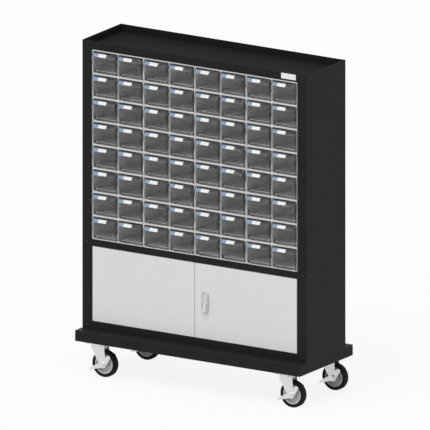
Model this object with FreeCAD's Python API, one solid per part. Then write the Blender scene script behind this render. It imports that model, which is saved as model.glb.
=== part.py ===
import FreeCAD, Part
import math
import os

# Small parts drawer cabinet: a sheet steel carcass on four braked swivel casters, with a stack of
# moulded two-drawer housings above a two-door cupboard and an open tray on top.
# Millimetres, +Z up, +X to the right, -Y to the front. The origin is on the floor, under the middle.

# Carcass
CABINET_WIDTH = 1200.0
BODY_DEPTH = 330.0
SHEET = 1.5
STILE_WIDTH = 52.0
REAR_FLANGE = 26.0
TOP_BAND_HEIGHT = 40.0
MIDDLE_RAIL_HEIGHT = 32.0
BOTTOM_RAIL_HEIGHT = 36.0

# Base
BASE_HEIGHT = 50.0
BASE_OVERHANG = 63.0
CHANNEL_WIDTH = 120.0
CHANNEL_SHEET = 3.0

# Drawer stack
COLUMNS = 4
ROWS = 8
ROW_PITCH = 111.0
HOUSING_WALL = 2.5
RUNNER_WIDTH = 6.0
RUNNER_HEIGHT = 9.0
RUNNER_INSET = 14.0
GUIDE_LEG = 40.0
GUIDE_SETBACK = 10.0
STACK_TOP_GAP = 0.5
STACK_REAR_GAP = 27.0

# Drawers
DRAWER_WALL = 2.0
DRAWER_RECESS = 6.0
DRAWER_SIDE_GAP = 5.0
DRAWER_DRAFT = 7.0
DRAWER_REAR_GAP = 10.0
DRAWER_TOP_GAP = 3.5
DRAWER_SIDE_DROP = 18.0
DRAWER_CHEEK_END = 25.0
RUNNING_GAP = 0.3
RIM_REACH = 5.0
PULL_REACH = 22.0
PULL_SLOPE_DROP = 23.0
PULL_BAND = 21.0
SLIDING_STEP = 3
SLIDING_PHASE = 0

# Cupboard doors
DOOR_OPENING_HEIGHT = 354.0
DOOR_THICKNESS = 18.0
DOOR_SHEET = 1.2
DOOR_LIP = 12.0
DOOR_GAP = 2.5
PIVOT_INSET = 14.0
PIVOT_SETBACK = 6.0
PIVOT_RADIUS = 3.0
PIVOT_ENGAGEMENT = 10.0
PIVOT_BLOCK = 24.0
PIVOT_HEAD_RADIUS = 5.5
PIVOT_HEAD_HEIGHT = 2.0
CATCH_WIDTH = 46.0
CATCH_HEIGHT = 14.0
CATCH_DEPTH = 13.0
CATCH_OFFSET = 60.0

# Handle and lock on the right door
HANDLE_X = 59.0
HANDLE_ABOVE_MIDDLE = 2.0
HANDLE_WIDTH = 32.0
HANDLE_HEIGHT = 95.0
HANDLE_THICKNESS = 12.0
HANDLE_FLOOR = 2.0
HANDLE_FOOT_WIDTH = 26.0
HANDLE_TAPER_HEIGHT = 20.0
HANDLE_RIM = 3.0
DISH_DEPTH = 4.0
LEVER_CLEARANCE = 0.5
LEVER_HUB_RADIUS = 4.0
LEVER_PIN_RADIUS = 2.0
LEVER_PIN_LENGTH = 2.0
LEVER_REACH = 15.0
LEVER_PLATE = 4.0
LOCK_RADIUS = 8.0
LOCK_HEAD_RADIUS = 9.5
LOCK_HEAD_HEIGHT = 2.0
LOCK_DROP = 34.0
KEYWAY_WIDTH = 2.0
KEYWAY_LENGTH = 9.0
KEYWAY_DEPTH = 6.0
CAM_WIDTH = 14.0
CAM_SHEET = 3.0
CAM_OVERLAP = 12.0

# Casters
WHEEL_DIAMETER = 125.0
WHEEL_WIDTH = 32.0
TYRE_THICKNESS = 15.0
TYRE_SHOULDER = 6.0
HUB_BOSS_RADIUS = 14.0
HUB_RIM_THICKNESS = 9.5
HUB_RIM_WIDTH = 28.0
HUB_WEB_THICKNESS = 12.0
CASTER_TRAIL = 34.5
CASTER_INSET_X = 97.5
CASTER_INSET_Y = 49.2
CASTER_PLATE_LENGTH = 105.0
CASTER_PLATE_WIDTH = 85.0
CASTER_PLATE_THICKNESS = 4.0
CASTER_BOLT_SPACING_X = 80.0
CASTER_BOLT_SPACING_Y = 60.0
RACEWAY_RADIUS = 30.0
RACEWAY_HEIGHT = 10.0
CROWN_CLEARANCE = 17.0
CROWN_FRONT = 27.4
CROWN_BACK = 40.6
FORK_SHEET = 3.5
FORK_SIDE_GAP = 3.0
FORK_END_RADIUS = 18.0
CROWN_SKIRT = 12.0
HUB_SIDE_GAP = 0.5
AXLE_RADIUS = 6.0
KINGPIN_RADIUS = 6.0
KINGPIN_HEAD_RADIUS = 9.0
KINGPIN_HEAD_HEIGHT = 2.4
BRAKE_SHEET = 3.0
BRAKE_DISC_RADIUS = 17.0
BRAKE_LOBE_X = 31.0
BRAKE_LOBE_Z = 34.5
BRAKE_LOBE_RADIUS = 10.0
BRAKE_ARM_DIP = 23.2
BRAKE_ARM_RADIUS = 4.5
BRAKE_ARM_ROOT_RADIUS = 14.0
TREAD_LENGTH = 10.0
TREAD_CLEARANCE = 4.0

# Fasteners and fits
SCREW_HEAD_RADIUS = 5.0
SCREW_HEAD_HEIGHT = 2.6
SCREW_HEAD_ROUND = 2.1
SCREW_SHANK_RADIUS = 2.0
SCREW_REACH = 6.0
SCREW_INSET = 25.0
SCREW_DROP = 18.0
BASE_SCREW_DROP = 10.0
BOLT_RADIUS = 4.0
BOLT_HEAD_ACROSS = 13.0
BOLT_HEAD_HEIGHT = 5.3
AXLE_HEAD_ACROSS = 19.0
AXLE_HEAD_HEIGHT = 7.5
HOLE_CLEARANCE = 0.1
RUNNING_FIT = 0.05
FACE_GAP = 0.3

# Blank plate on the top band
PLATE_WIDTH = 78.0
PLATE_HEIGHT = 26.0
PLATE_THICKNESS = 1.5
PLATE_DROP = 5.0
PLATE_INSET = 8.0

# Levels and planes worked out from the sizes above
CROWN_TOP = WHEEL_DIAMETER + CROWN_CLEARANCE + FORK_SHEET
RACEWAY_BOTTOM = CROWN_TOP + FACE_GAP
CASTER_PLATE_BOTTOM = RACEWAY_BOTTOM + RACEWAY_HEIGHT
BASE_BOTTOM = CASTER_PLATE_BOTTOM + CASTER_PLATE_THICKNESS
BASE_TOP = BASE_BOTTOM + BASE_HEIGHT
FLOOR_TOP = BASE_TOP + BOTTOM_RAIL_HEIGHT
DOOR_ZONE_TOP = FLOOR_TOP + DOOR_OPENING_HEIGHT
SHELF_TOP = DOOR_ZONE_TOP + MIDDLE_RAIL_HEIGHT
STACK_TOP = SHELF_TOP + ROWS * ROW_PITCH
CABINET_TOP = STACK_TOP + TOP_BAND_HEIGHT
TRAY_FLOOR_BOTTOM = STACK_TOP + STACK_TOP_GAP
HALF_WIDTH = CABINET_WIDTH / 2
INNER_HALF = HALF_WIDTH - SHEET
OPENING_HALF = HALF_WIDTH - STILE_WIDTH
BODY_FRONT = -BODY_DEPTH / 2
BODY_BACK = BODY_DEPTH / 2
BASE_HALF_DEPTH = BODY_DEPTH / 2 + BASE_OVERHANG
RAIL_FRONT = BODY_FRONT + SHEET
PAN_BACK = BODY_BACK - 2 * SHEET
MODULE_WIDTH = 2 * OPENING_HALF / COLUMNS
HOUSING_DEPTH = PAN_BACK - BODY_FRONT - STACK_REAR_GAP
CELL_WIDTH = (MODULE_WIDTH - 3 * HOUSING_WALL) / 2
CELL_HEIGHT = ROW_PITCH - 2 * HOUSING_WALL
CELL_PITCH = CELL_WIDTH + HOUSING_WALL
DOOR_BOTTOM = FLOOR_TOP + DOOR_GAP
DOOR_TOP = DOOR_ZONE_TOP - DOOR_GAP
DOOR_BACK = BODY_FRONT + DOOR_THICKNESS
CATCH_FRONT = DOOR_BACK + FACE_GAP
LIP_BACK = CATCH_FRONT + CATCH_DEPTH
DOOR_OUTER = OPENING_HALF - DOOR_GAP
DOOR_INNER = DOOR_GAP / 2
PIVOT_X = DOOR_OUTER - PIVOT_INSET
PIVOT_Y = RAIL_FRONT + SHEET + PIVOT_SETBACK
HANDLE_Z = (DOOR_BOTTOM + DOOR_TOP) / 2 + HANDLE_ABOVE_MIDDLE
HANDLE_FRONT = BODY_FRONT - HANDLE_THICKNESS
DISH_FLOOR = HANDLE_FRONT + DISH_DEPTH
POCKET_HALF = HANDLE_WIDTH / 2 - HANDLE_RIM
LEVER_PIVOT_Y = BODY_FRONT - HANDLE_FLOOR - LEVER_CLEARANCE - LEVER_HUB_RADIUS
LEVER_PIVOT_Z = HANDLE_Z - LEVER_HUB_RADIUS
LOCK_Z = HANDLE_Z + HANDLE_HEIGHT / 2 - LOCK_DROP
AXLE_Z = WHEEL_DIAMETER / 2
HUB_RADIUS = WHEEL_DIAMETER / 2 - TYRE_THICKNESS
LEG_INNER = WHEEL_WIDTH / 2 + FORK_SIDE_GAP
LEG_OUTER = LEG_INNER + FORK_SHEET
BRAKE_INNER = LEG_OUTER + FACE_GAP
BRAKE_OUTER = BRAKE_INNER + BRAKE_SHEET
AXLE_HEAD_START = BRAKE_OUTER + FACE_GAP
BRAKE_ARM_LENGTH = WHEEL_DIAMETER / 2 + TREAD_CLEARANCE + TREAD_LENGTH / 2
BRAKE_ARM_X = -BRAKE_ARM_LENGTH * math.cos(math.radians(BRAKE_ARM_DIP))
BRAKE_ARM_Z = -BRAKE_ARM_LENGTH * math.sin(math.radians(BRAKE_ARM_DIP))


def point(x, y, z):
    """A place or a direction."""
    return FreeCAD.Vector(x, y, z)


X_AXIS = point(1, 0, 0)
Y_AXIS = point(0, 1, 0)
Z_AXIS = point(0, 0, 1)
ORIGIN = point(0, 0, 0)


def box(x0, x1, y0, y1, z0, z1):
    """A block between two planes on each axis."""
    return Part.makeBox(x1 - x0, y1 - y0, z1 - z0, point(x0, y0, z0))


def rod(radius, start, end):
    """A round bar from one point to another."""
    return Part.makeCylinder(radius, (end - start).Length, start, end - start)


def prism(points, sweep):
    """A flat polygon pushed along a vector."""
    return Part.Face(Part.makePolygon(points + points[:1])).extrude(sweep)


def hexagon(across_flats, start, sweep, first_corner):
    """A hexagonal bar whose first corner points along the given direction."""
    radius = across_flats / math.sqrt(3)
    corner = FreeCAD.Vector(first_corner).normalize() * radius
    corners = []
    for turn in range(6):
        corners.append(start + FreeCAD.Rotation(sweep, 60 * turn).multVec(corner))
    return prism(corners, sweep)


def fuse(shapes):
    """One solid from touching shapes, with no seams left on flat faces."""
    return shapes[0].multiFuse(shapes[1:]).removeSplitter()


def group(shapes):
    """Separate solids side by side in one node."""
    return Part.makeCompound(shapes)


def mirrored(shape):
    """The same shape on the other side of the cabinet."""
    return shape.mirror(ORIGIN, X_AXIS)


def placed(shape, x, y, z):
    """A copy of a shape moved to its place."""
    copy = shape.copy()
    copy.translate(point(x, y, z))
    return copy


def link_outline(x0, z0, radius0, x1, z1, radius1):
    """The face around two circles in the XZ plane and their outer tangents."""
    length = math.hypot(x1 - x0, z1 - z0)
    heading = math.atan2(z1 - z0, x1 - x0)
    spread = math.acos((radius0 - radius1) / length)

    def on_circle(x, z, radius, angle):
        return point(x + radius * math.cos(angle), 0, z + radius * math.sin(angle))

    left0 = on_circle(x0, z0, radius0, heading + spread)
    back0 = on_circle(x0, z0, radius0, heading + math.pi)
    right0 = on_circle(x0, z0, radius0, heading - spread)
    left1 = on_circle(x1, z1, radius1, heading + spread)
    tip1 = on_circle(x1, z1, radius1, heading)
    right1 = on_circle(x1, z1, radius1, heading - spread)
    edges = [
        Part.Arc(left0, back0, right0).toShape(),
        Part.LineSegment(right0, right1).toShape(),
        Part.Arc(right1, tip1, left1).toShape(),
        Part.LineSegment(left1, left0).toShape(),
    ]
    return Part.Face(Part.Wire(edges))


def screw_places():
    """Each carcass screw as the point under its head and the direction it is driven."""
    top_level = CABINET_TOP - SCREW_DROP
    middle_level = SHELF_TOP - MIDDLE_RAIL_HEIGHT / 2
    floor_level = FLOOR_TOP - BOTTOM_RAIL_HEIGHT / 2
    base_level = BASE_TOP - BASE_SCREW_DROP
    stack_level = (STACK_TOP + SHELF_TOP) / 2
    places = []
    for side in (-1, 1):
        inward = point(-side, 0, 0)
        for level in (top_level, middle_level, floor_level):
            places.append((point(side * (HALF_WIDTH - SCREW_INSET), BODY_FRONT, level), Y_AXIS))
        for level in (top_level, middle_level, base_level):
            for y in (BODY_FRONT + SCREW_INSET, 0, BODY_BACK - SCREW_INSET):
                places.append((point(side * HALF_WIDTH, y, level), inward))
        for level in (top_level, stack_level, middle_level, floor_level):
            rear = point(side * (HALF_WIDTH - REAR_FLANGE / 2), BODY_BACK, level)
            places.append((rear, Y_AXIS * -1))
    return places


def carcass_screw(seat, drive):
    """A pan-head screw: a domed head on the sheet and a shank through it."""
    head = rod(SCREW_HEAD_RADIUS, seat - drive * SCREW_HEAD_HEIGHT, seat)
    crown = seat - drive * SCREW_HEAD_HEIGHT
    rim = [edge for edge in head.Edges if edge.BoundBox.Center.isEqual(crown, 0.01)]
    head = head.makeFillet(SCREW_HEAD_ROUND, rim)
    return head.fuse(rod(SCREW_SHANK_RADIUS, seat, seat + drive * SCREW_REACH))


def screw_holes():
    """The clearance holes of all carcass screws, as one cutting shape."""
    radius = SCREW_SHANK_RADIUS + HOLE_CLEARANCE
    deep = SCREW_REACH + HOLE_CLEARANCE
    return group([rod(radius, seat, seat + drive * deep) for seat, drive in screw_places()])


def side_panel():
    """The right side: a web down to the base's bottom edge, the front stile and a rear flange."""
    return welded([
        box(INNER_HALF, HALF_WIDTH, BODY_FRONT, BODY_BACK, BASE_BOTTOM, CABINET_TOP),
        box(OPENING_HALF, INNER_HALF, BODY_FRONT, RAIL_FRONT, BASE_TOP, CABINET_TOP),
        box(HALF_WIDTH - REAR_FLANGE, INNER_HALF, BODY_BACK - SHEET, BODY_BACK, BASE_TOP, CABINET_TOP),
    ])


def back_panel():
    """The flat sheet inside the rear flanges."""
    sheet = box(-INNER_HALF, INNER_HALF, PAN_BACK, PAN_BACK + SHEET, BASE_TOP, CABINET_TOP)
    return sheet.cut(screw_holes())


def folded_pan(bottom, top):
    """The plates of a pan: a sheet with walls down from all four edges, between the sides and inside the back."""
    front = RAIL_FRONT + SHEET
    back = PAN_BACK - SHEET
    under = top - SHEET
    side_wall = box(INNER_HALF - SHEET, INNER_HALF, front, back, bottom, under)
    return [
        box(-INNER_HALF, INNER_HALF, RAIL_FRONT, PAN_BACK, under, top),
        box(-INNER_HALF, INNER_HALF, RAIL_FRONT, front, bottom, under),
        box(-INNER_HALF, INNER_HALF, back, PAN_BACK, bottom, under),
        side_wall,
        mirrored(side_wall),
    ]


def welded(plates):
    """Plates welded edge to edge, each with its holes for screws and pins."""
    screws = screw_holes()
    pins = pivot_holes()
    return group([plate.cut(screws).cut(pins) for plate in plates])


def top_tray():
    """The open tray: a floor between four walls, the front one being the band above the drawers."""
    low = TRAY_FLOOR_BOTTOM
    front = RAIL_FRONT + SHEET
    back = PAN_BACK - SHEET
    inner_x = INNER_HALF - SHEET
    side_wall = box(inner_x, INNER_HALF, front, back, low, CABINET_TOP)
    return welded([
        box(-inner_x, inner_x, front, back, low, low + SHEET),
        box(-INNER_HALF, INNER_HALF, RAIL_FRONT, front, low, CABINET_TOP),
        box(-INNER_HALF, INNER_HALF, back, PAN_BACK, low, CABINET_TOP),
        side_wall,
        mirrored(side_wall),
    ])


def pivot_holes():
    """Holes for the pins in the shelf lip and the cupboard floor."""
    radius = PIVOT_RADIUS + RUNNING_FIT
    holes = []
    for side in (-1, 1):
        for level in (FLOOR_TOP - SHEET / 2, DOOR_ZONE_TOP + SHEET / 2):
            holes.append(rod(radius, point(side * PIVOT_X, PIVOT_Y, level - SHEET),
                             point(side * PIVOT_X, PIVOT_Y, level + SHEET)))
    return group(holes)


def middle_shelf():
    """The shelf under the drawer stack, with the middle rail and a lip for the pins and catches."""
    inner_x = INNER_HALF - SHEET
    lip = box(-inner_x, inner_x, RAIL_FRONT + SHEET, LIP_BACK, DOOR_ZONE_TOP, DOOR_ZONE_TOP + SHEET)
    return welded(folded_pan(DOOR_ZONE_TOP, SHELF_TOP) + [lip])


def cupboard_floor():
    """The cupboard's floor, with the bottom rail folded down at its front."""
    return welded(folded_pan(BASE_TOP, FLOOR_TOP))


def base_pan():
    """The deck, its long walls, a flange inside each web, and the ends in front of and behind the body."""
    deck_bottom = BASE_TOP - SHEET
    depth = BASE_HALF_DEPTH
    inside = depth - SHEET
    right_end = [
        box(INNER_HALF - SHEET, INNER_HALF, BODY_FRONT, BODY_BACK, BASE_BOTTOM, deck_bottom),
        box(INNER_HALF, HALF_WIDTH, -inside, BODY_FRONT, BASE_BOTTOM, BASE_TOP),
        box(INNER_HALF, HALF_WIDTH, BODY_BACK, inside, BASE_BOTTOM, BASE_TOP),
    ]
    plates = [
        box(-INNER_HALF, INNER_HALF, -inside, inside, deck_bottom, BASE_TOP),
        box(-HALF_WIDTH, HALF_WIDTH, -depth, -inside, BASE_BOTTOM, BASE_TOP),
        box(-HALF_WIDTH, HALF_WIDTH, inside, depth, BASE_BOTTOM, BASE_TOP),
    ]
    plates += right_end
    plates += [mirrored(plate) for plate in right_end]
    return welded(plates)


def caster_places():
    """The four swivel axes, by the name of their corner."""
    x = HALF_WIDTH - CASTER_INSET_X
    y = BASE_HALF_DEPTH - CASTER_INSET_Y
    return {
        "front_left": (-x, -y),
        "front_right": (x, -y),
        "rear_left": (-x, y),
        "rear_right": (x, y),
    }


def caster_bolt_places():
    """The sixteen plate bolts, as (x, y)."""
    places = []
    for x, y in caster_places().values():
        for dx in (-CASTER_BOLT_SPACING_X / 2, CASTER_BOLT_SPACING_X / 2):
            for dy in (-CASTER_BOLT_SPACING_Y / 2, CASTER_BOLT_SPACING_Y / 2):
                places.append((x + dx, y + dy))
    return places


def caster_bolt_holes():
    """Clearance holes through the caster plates and channels."""
    radius = BOLT_RADIUS + HOLE_CLEARANCE
    holes = []
    for x, y in caster_bolt_places():
        holes.append(rod(radius, point(x, y, CASTER_PLATE_BOTTOM), point(x, y, BASE_BOTTOM + CHANNEL_SHEET)))
    return group(holes)


def caster_channels():
    """Two U-channels across the base, each over a pair of casters."""
    reach = BASE_HALF_DEPTH - SHEET
    holes = caster_bolt_holes()
    channels = []
    for side in (-1, 1):
        middle = side * (HALF_WIDTH - CASTER_INSET_X)
        outer = box(middle - CHANNEL_WIDTH / 2, middle + CHANNEL_WIDTH / 2, -reach, reach,
                    BASE_BOTTOM, BASE_TOP - SHEET)
        hollow = box(middle - CHANNEL_WIDTH / 2 + CHANNEL_SHEET, middle + CHANNEL_WIDTH / 2 - CHANNEL_SHEET,
                     -reach, reach, BASE_BOTTOM + CHANNEL_SHEET, BASE_TOP - SHEET)
        channels.append(outer.cut(hollow).cut(holes))
    return group(channels)


def stack_guides():
    """Angles behind the stiles that keep the drawer housings in line."""
    behind_stile = box(OPENING_HALF, INNER_HALF - GUIDE_SETBACK, RAIL_FRONT, RAIL_FRONT + SHEET,
                       SHELF_TOP, STACK_TOP)
    beside_stack = box(OPENING_HALF, OPENING_HALF + SHEET, RAIL_FRONT, RAIL_FRONT + GUIDE_LEG,
                       SHELF_TOP, STACK_TOP)
    guide = fuse([behind_stile, beside_stack])
    return group([mirrored(guide), guide])


def housing():
    """The touching walls and runners of one two-drawer housing, from its lower left front corner."""
    back = HOUSING_DEPTH - HOUSING_WALL
    ceiling = ROW_PITCH - HOUSING_WALL
    walls = [
        box(0, MODULE_WIDTH, 0, back, 0, HOUSING_WALL),
        box(0, MODULE_WIDTH, 0, back, ceiling, ROW_PITCH),
        box(0, MODULE_WIDTH, back, HOUSING_DEPTH, 0, ROW_PITCH),
    ]
    for upright in range(3):
        left = upright * CELL_PITCH
        walls.append(box(left, left + HOUSING_WALL, 0, back, HOUSING_WALL, ceiling))
    for cell in range(2):
        left = HOUSING_WALL + cell * CELL_PITCH
        for runner_left in (left + RUNNER_INSET, left + CELL_WIDTH - RUNNER_INSET - RUNNER_WIDTH):
            walls.append(box(runner_left, runner_left + RUNNER_WIDTH, DRAWER_RECESS, back,
                             HOUSING_WALL, HOUSING_WALL + RUNNER_HEIGHT))
    return walls


def drawer_housings():
    """The whole stack of housings."""
    walls = housing()
    stack = []
    for row in range(ROWS):
        for column in range(COLUMNS):
            left = -OPENING_HALF + column * MODULE_WIDTH
            for wall in walls:
                stack.append(placed(wall, left, BODY_FRONT, SHELF_TOP + row * ROW_PITCH))
    return group(stack)


def inner_corner(before, corner, after):
    """Where a bent wall's inner faces meet, a wall's thickness inside its outer corner."""
    normals = []
    for start, end in ((before, corner), (corner, after)):
        along = (end - start).normalize()
        normals.append(point(0, along.z, -along.y))
    both = normals[0] + normals[1]
    return corner + both * (DRAWER_WALL / (1 + normals[0].dot(normals[1])))


def drawer_section(inset, bottom, top, over):
    """The drawer's tapered cross-section, drawn in by an inset and carried over the rim."""
    draw_in = DRAWER_DRAFT / (top - bottom)
    low = DRAWER_SIDE_GAP + DRAWER_DRAFT + inset
    high = DRAWER_SIDE_GAP - draw_in * over + inset
    back = HOUSING_DEPTH
    return prism([
        point(low, -PULL_REACH, bottom),
        point(CELL_WIDTH - low, -PULL_REACH, bottom),
        point(CELL_WIDTH - high, -PULL_REACH, top + over),
        point(high, -PULL_REACH, top + over),
    ], point(0, back + PULL_REACH, 0))


def drawer():
    """One clear drawer with a bellied front, placed from the lower left front corner of its cell."""
    back = HOUSING_DEPTH - HOUSING_WALL - DRAWER_REAR_GAP
    bottom = RUNNER_HEIGHT + RUNNING_GAP
    top = CELL_HEIGHT - DRAWER_TOP_GAP
    slope_foot = top - PULL_SLOPE_DROP
    side_top = top - DRAWER_SIDE_DROP
    heel = point(0, back, bottom)
    toe = point(0, DRAWER_RECESS, bottom)
    band_foot = point(0, -PULL_REACH, slope_foot - PULL_BAND)
    band_head = point(0, -PULL_REACH, slope_foot)
    rim = point(0, -RIM_REACH, top)
    across = point(CELL_WIDTH, 0, 0)
    outside = prism([heel, toe, band_foot, band_head, rim, point(0, DRAWER_CHEEK_END, side_top),
                     point(0, back, side_top)], across)
    slope = (rim - band_head).normalize()
    inner_head = inner_corner(band_foot, band_head, rim)
    inner_rim = inner_head + slope * ((top - inner_head.z) / slope.z + DRAWER_WALL)
    inside_back = back - DRAWER_WALL
    hollow = prism([
        point(0, inside_back, bottom + DRAWER_WALL),
        inner_corner(heel, toe, band_foot),
        inner_corner(toe, band_foot, band_head),
        inner_head,
        inner_rim,
        point(0, inside_back, inner_rim.z),
    ], across)
    over = inner_rim.z - top
    shell = outside.common(drawer_section(0, bottom, top, over))
    return shell.cut(hollow.common(drawer_section(DRAWER_WALL, bottom, top, over)))


def drawer_places():
    """Every drawer as (row from the bottom, column from the left, x, y, z), counted from 1."""
    places = []
    for row in range(ROWS):
        for column in range(2 * COLUMNS):
            x = -OPENING_HALF + (column // 2) * MODULE_WIDTH + HOUSING_WALL + (column % 2) * CELL_PITCH
            z = SHELF_TOP + row * ROW_PITCH + HOUSING_WALL
            places.append((row + 1, column + 1, x, BODY_FRONT, z))
    return places


def slides(row, column):
    """Whether a drawer is a piece of its own: one in three, along rows and columns alike."""
    return (row + column) % SLIDING_STEP == SLIDING_PHASE


def drawers():
    """The drawers that slide, each in its node, and the others joined in one."""
    shape = drawer()
    nodes = {}
    closed = []
    for row, column, x, y, z in drawer_places():
        copy = placed(shape, x, y, z)
        if slides(row, column):
            nodes["drawer_row_%d_column_%d" % (row, column)] = copy
        else:
            closed.append(copy)
    nodes["closed_drawers"] = group(closed)
    return nodes


def door():
    """The right door: a folded pan with lips at the back and blocks for the pivot pins."""
    front = BODY_FRONT
    outer = box(DOOR_INNER, DOOR_OUTER, front, DOOR_BACK, DOOR_BOTTOM, DOOR_TOP)
    pocket = box(DOOR_INNER + DOOR_SHEET, DOOR_OUTER - DOOR_SHEET, front + DOOR_SHEET, DOOR_BACK - DOOR_SHEET,
                 DOOR_BOTTOM + DOOR_SHEET, DOOR_TOP - DOOR_SHEET)
    window = box(DOOR_INNER + DOOR_LIP, DOOR_OUTER - DOOR_LIP, DOOR_BACK - DOOR_SHEET, DOOR_BACK,
                 DOOR_BOTTOM + DOOR_LIP, DOOR_TOP - DOOR_LIP)
    pan = outer.cut(group([pocket, window]))
    block_height = PIVOT_ENGAGEMENT + 2 * DOOR_SHEET
    blocks = []
    for low in (DOOR_BOTTOM, DOOR_TOP - block_height):
        blocks.append(box(DOOR_OUTER - PIVOT_BLOCK, DOOR_OUTER, front, DOOR_BACK, low, low + block_height))
    bore = PIVOT_RADIUS + RUNNING_FIT
    depth = PIVOT_ENGAGEMENT + FACE_GAP
    bores = group([
        rod(bore, point(PIVOT_X, PIVOT_Y, DOOR_BOTTOM), point(PIVOT_X, PIVOT_Y, DOOR_BOTTOM + depth)),
        rod(bore, point(PIVOT_X, PIVOT_Y, DOOR_TOP - depth), point(PIVOT_X, PIVOT_Y, DOOR_TOP)),
    ])
    return fuse([pan] + blocks).cut(bores)


def lock_bore():
    """The round hole for the lock barrel, through handle and door skin."""
    start = point(HANDLE_X, DISH_FLOOR, LOCK_Z)
    return rod(LOCK_RADIUS + RUNNING_FIT, start, point(HANDLE_X, BODY_FRONT + DOOR_SHEET, LOCK_Z))


def pivot_pins():
    """Four headed pins; the lower two have a collar that carries the door."""
    pins = []
    for side in (-1, 1):
        axis = (side * PIVOT_X, PIVOT_Y)
        floor_under = FLOOR_TOP - SHEET
        lip_over = DOOR_ZONE_TOP + SHEET
        lower = [
            rod(PIVOT_RADIUS, point(*axis, floor_under), point(*axis, DOOR_BOTTOM + PIVOT_ENGAGEMENT)),
            rod(PIVOT_HEAD_RADIUS, point(*axis, floor_under - PIVOT_HEAD_HEIGHT), point(*axis, floor_under)),
            rod(PIVOT_HEAD_RADIUS, point(*axis, FLOOR_TOP), point(*axis, DOOR_BOTTOM - FACE_GAP)),
        ]
        upper = [
            rod(PIVOT_RADIUS, point(*axis, DOOR_TOP - PIVOT_ENGAGEMENT), point(*axis, lip_over)),
            rod(PIVOT_HEAD_RADIUS, point(*axis, lip_over), point(*axis, lip_over + PIVOT_HEAD_HEIGHT)),
        ]
        pins.append(fuse(lower))
        pins.append(fuse(upper))
    return group(pins)


def door_catches():
    """Magnetic catches under the shelf lip, one behind each door's top corner."""
    catches = []
    for side in (-1, 1):
        x = side * CATCH_OFFSET
        catches.append(box(x - CATCH_WIDTH / 2, x + CATCH_WIDTH / 2, CATCH_FRONT, LIP_BACK,
                           DOOR_ZONE_TOP - CATCH_HEIGHT, DOOR_ZONE_TOP))
    return group(catches)


def handle_outline(inset):
    """The handle's face on the door, round at the top and tapered at the foot, with its sides drawn in."""
    half = HANDLE_WIDTH / 2 - inset
    foot = HANDLE_FOOT_WIDTH / 2 - inset
    low = HANDLE_Z - HANDLE_HEIGHT / 2
    shoulder = HANDLE_Z + HANDLE_HEIGHT / 2 - HANDLE_WIDTH / 2
    taper = low + HANDLE_TAPER_HEIGHT
    y = BODY_FRONT
    right = point(HANDLE_X + half, y, shoulder)
    left = point(HANDLE_X - half, y, shoulder)
    crest = point(HANDLE_X, y, shoulder + half)
    corners = [
        left,
        point(HANDLE_X - half, y, taper),
        point(HANDLE_X - foot, y, low),
        point(HANDLE_X + foot, y, low),
        point(HANDLE_X + half, y, taper),
        right,
    ]
    edges = [Part.LineSegment(a, b).toShape() for a, b in zip(corners, corners[1:])]
    edges.append(Part.Arc(right, crest, left).toShape())
    return Part.Face(Part.Wire(edges))


def handle_housing():
    """The handle's shell: a rim round a shallow dish for the lock and a deep pocket for the lever."""
    shell = handle_outline(0).extrude(point(0, -HANDLE_THICKNESS, 0))
    hollow = placed(handle_outline(HANDLE_RIM), 0, -HANDLE_FLOOR, 0)
    hollow = hollow.extrude(point(0, HANDLE_FLOOR - HANDLE_THICKNESS, 0))
    under_dish = box(HANDLE_X - POCKET_HALF, HANDLE_X + POCKET_HALF, DISH_FLOOR, BODY_FRONT,
                     HANDLE_Z + LEVER_CLEARANCE, HANDLE_Z + HANDLE_HEIGHT / 2)
    pin_half = POCKET_HALF + LEVER_PIN_LENGTH
    pin_hole = rod(LEVER_PIN_RADIUS + RUNNING_FIT, point(HANDLE_X - pin_half, LEVER_PIVOT_Y, LEVER_PIVOT_Z),
                   point(HANDLE_X + pin_half, LEVER_PIVOT_Y, LEVER_PIVOT_Z))
    return shell.cut(hollow.cut(under_dish)).cut(lock_bore()).cut(pin_hole)


def handle_lever():
    """The pull lever: a hub with two pins, and a plate that leans out to its finger edge."""
    hub_half = POCKET_HALF - LEVER_CLEARANCE
    pin_half = hub_half + LEVER_PIN_LENGTH
    half = HANDLE_FOOT_WIDTH / 2 - HANDLE_RIM - LEVER_CLEARANCE
    low = HANDLE_Z - HANDLE_HEIGHT / 2
    hub = rod(LEVER_HUB_RADIUS, point(HANDLE_X - hub_half, LEVER_PIVOT_Y, LEVER_PIVOT_Z),
              point(HANDLE_X + hub_half, LEVER_PIVOT_Y, LEVER_PIVOT_Z))
    pin = rod(LEVER_PIN_RADIUS, point(HANDLE_X - pin_half, LEVER_PIVOT_Y, LEVER_PIVOT_Z),
              point(HANDLE_X + pin_half, LEVER_PIVOT_Y, LEVER_PIVOT_Z))
    edge_front = BODY_FRONT - LEVER_REACH
    plate = prism([
        point(HANDLE_X - half, LEVER_PIVOT_Y - LEVER_HUB_RADIUS, LEVER_PIVOT_Z),
        point(HANDLE_X - half, edge_front, low),
        point(HANDLE_X - half, edge_front + LEVER_PLATE, low),
        point(HANDLE_X - half, LEVER_PIVOT_Y, LEVER_PIVOT_Z - LEVER_HUB_RADIUS),
        point(HANDLE_X - half, LEVER_PIVOT_Y, LEVER_PIVOT_Z),
    ], point(2 * half, 0, 0))
    return fuse([hub, pin, plate])


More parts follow.
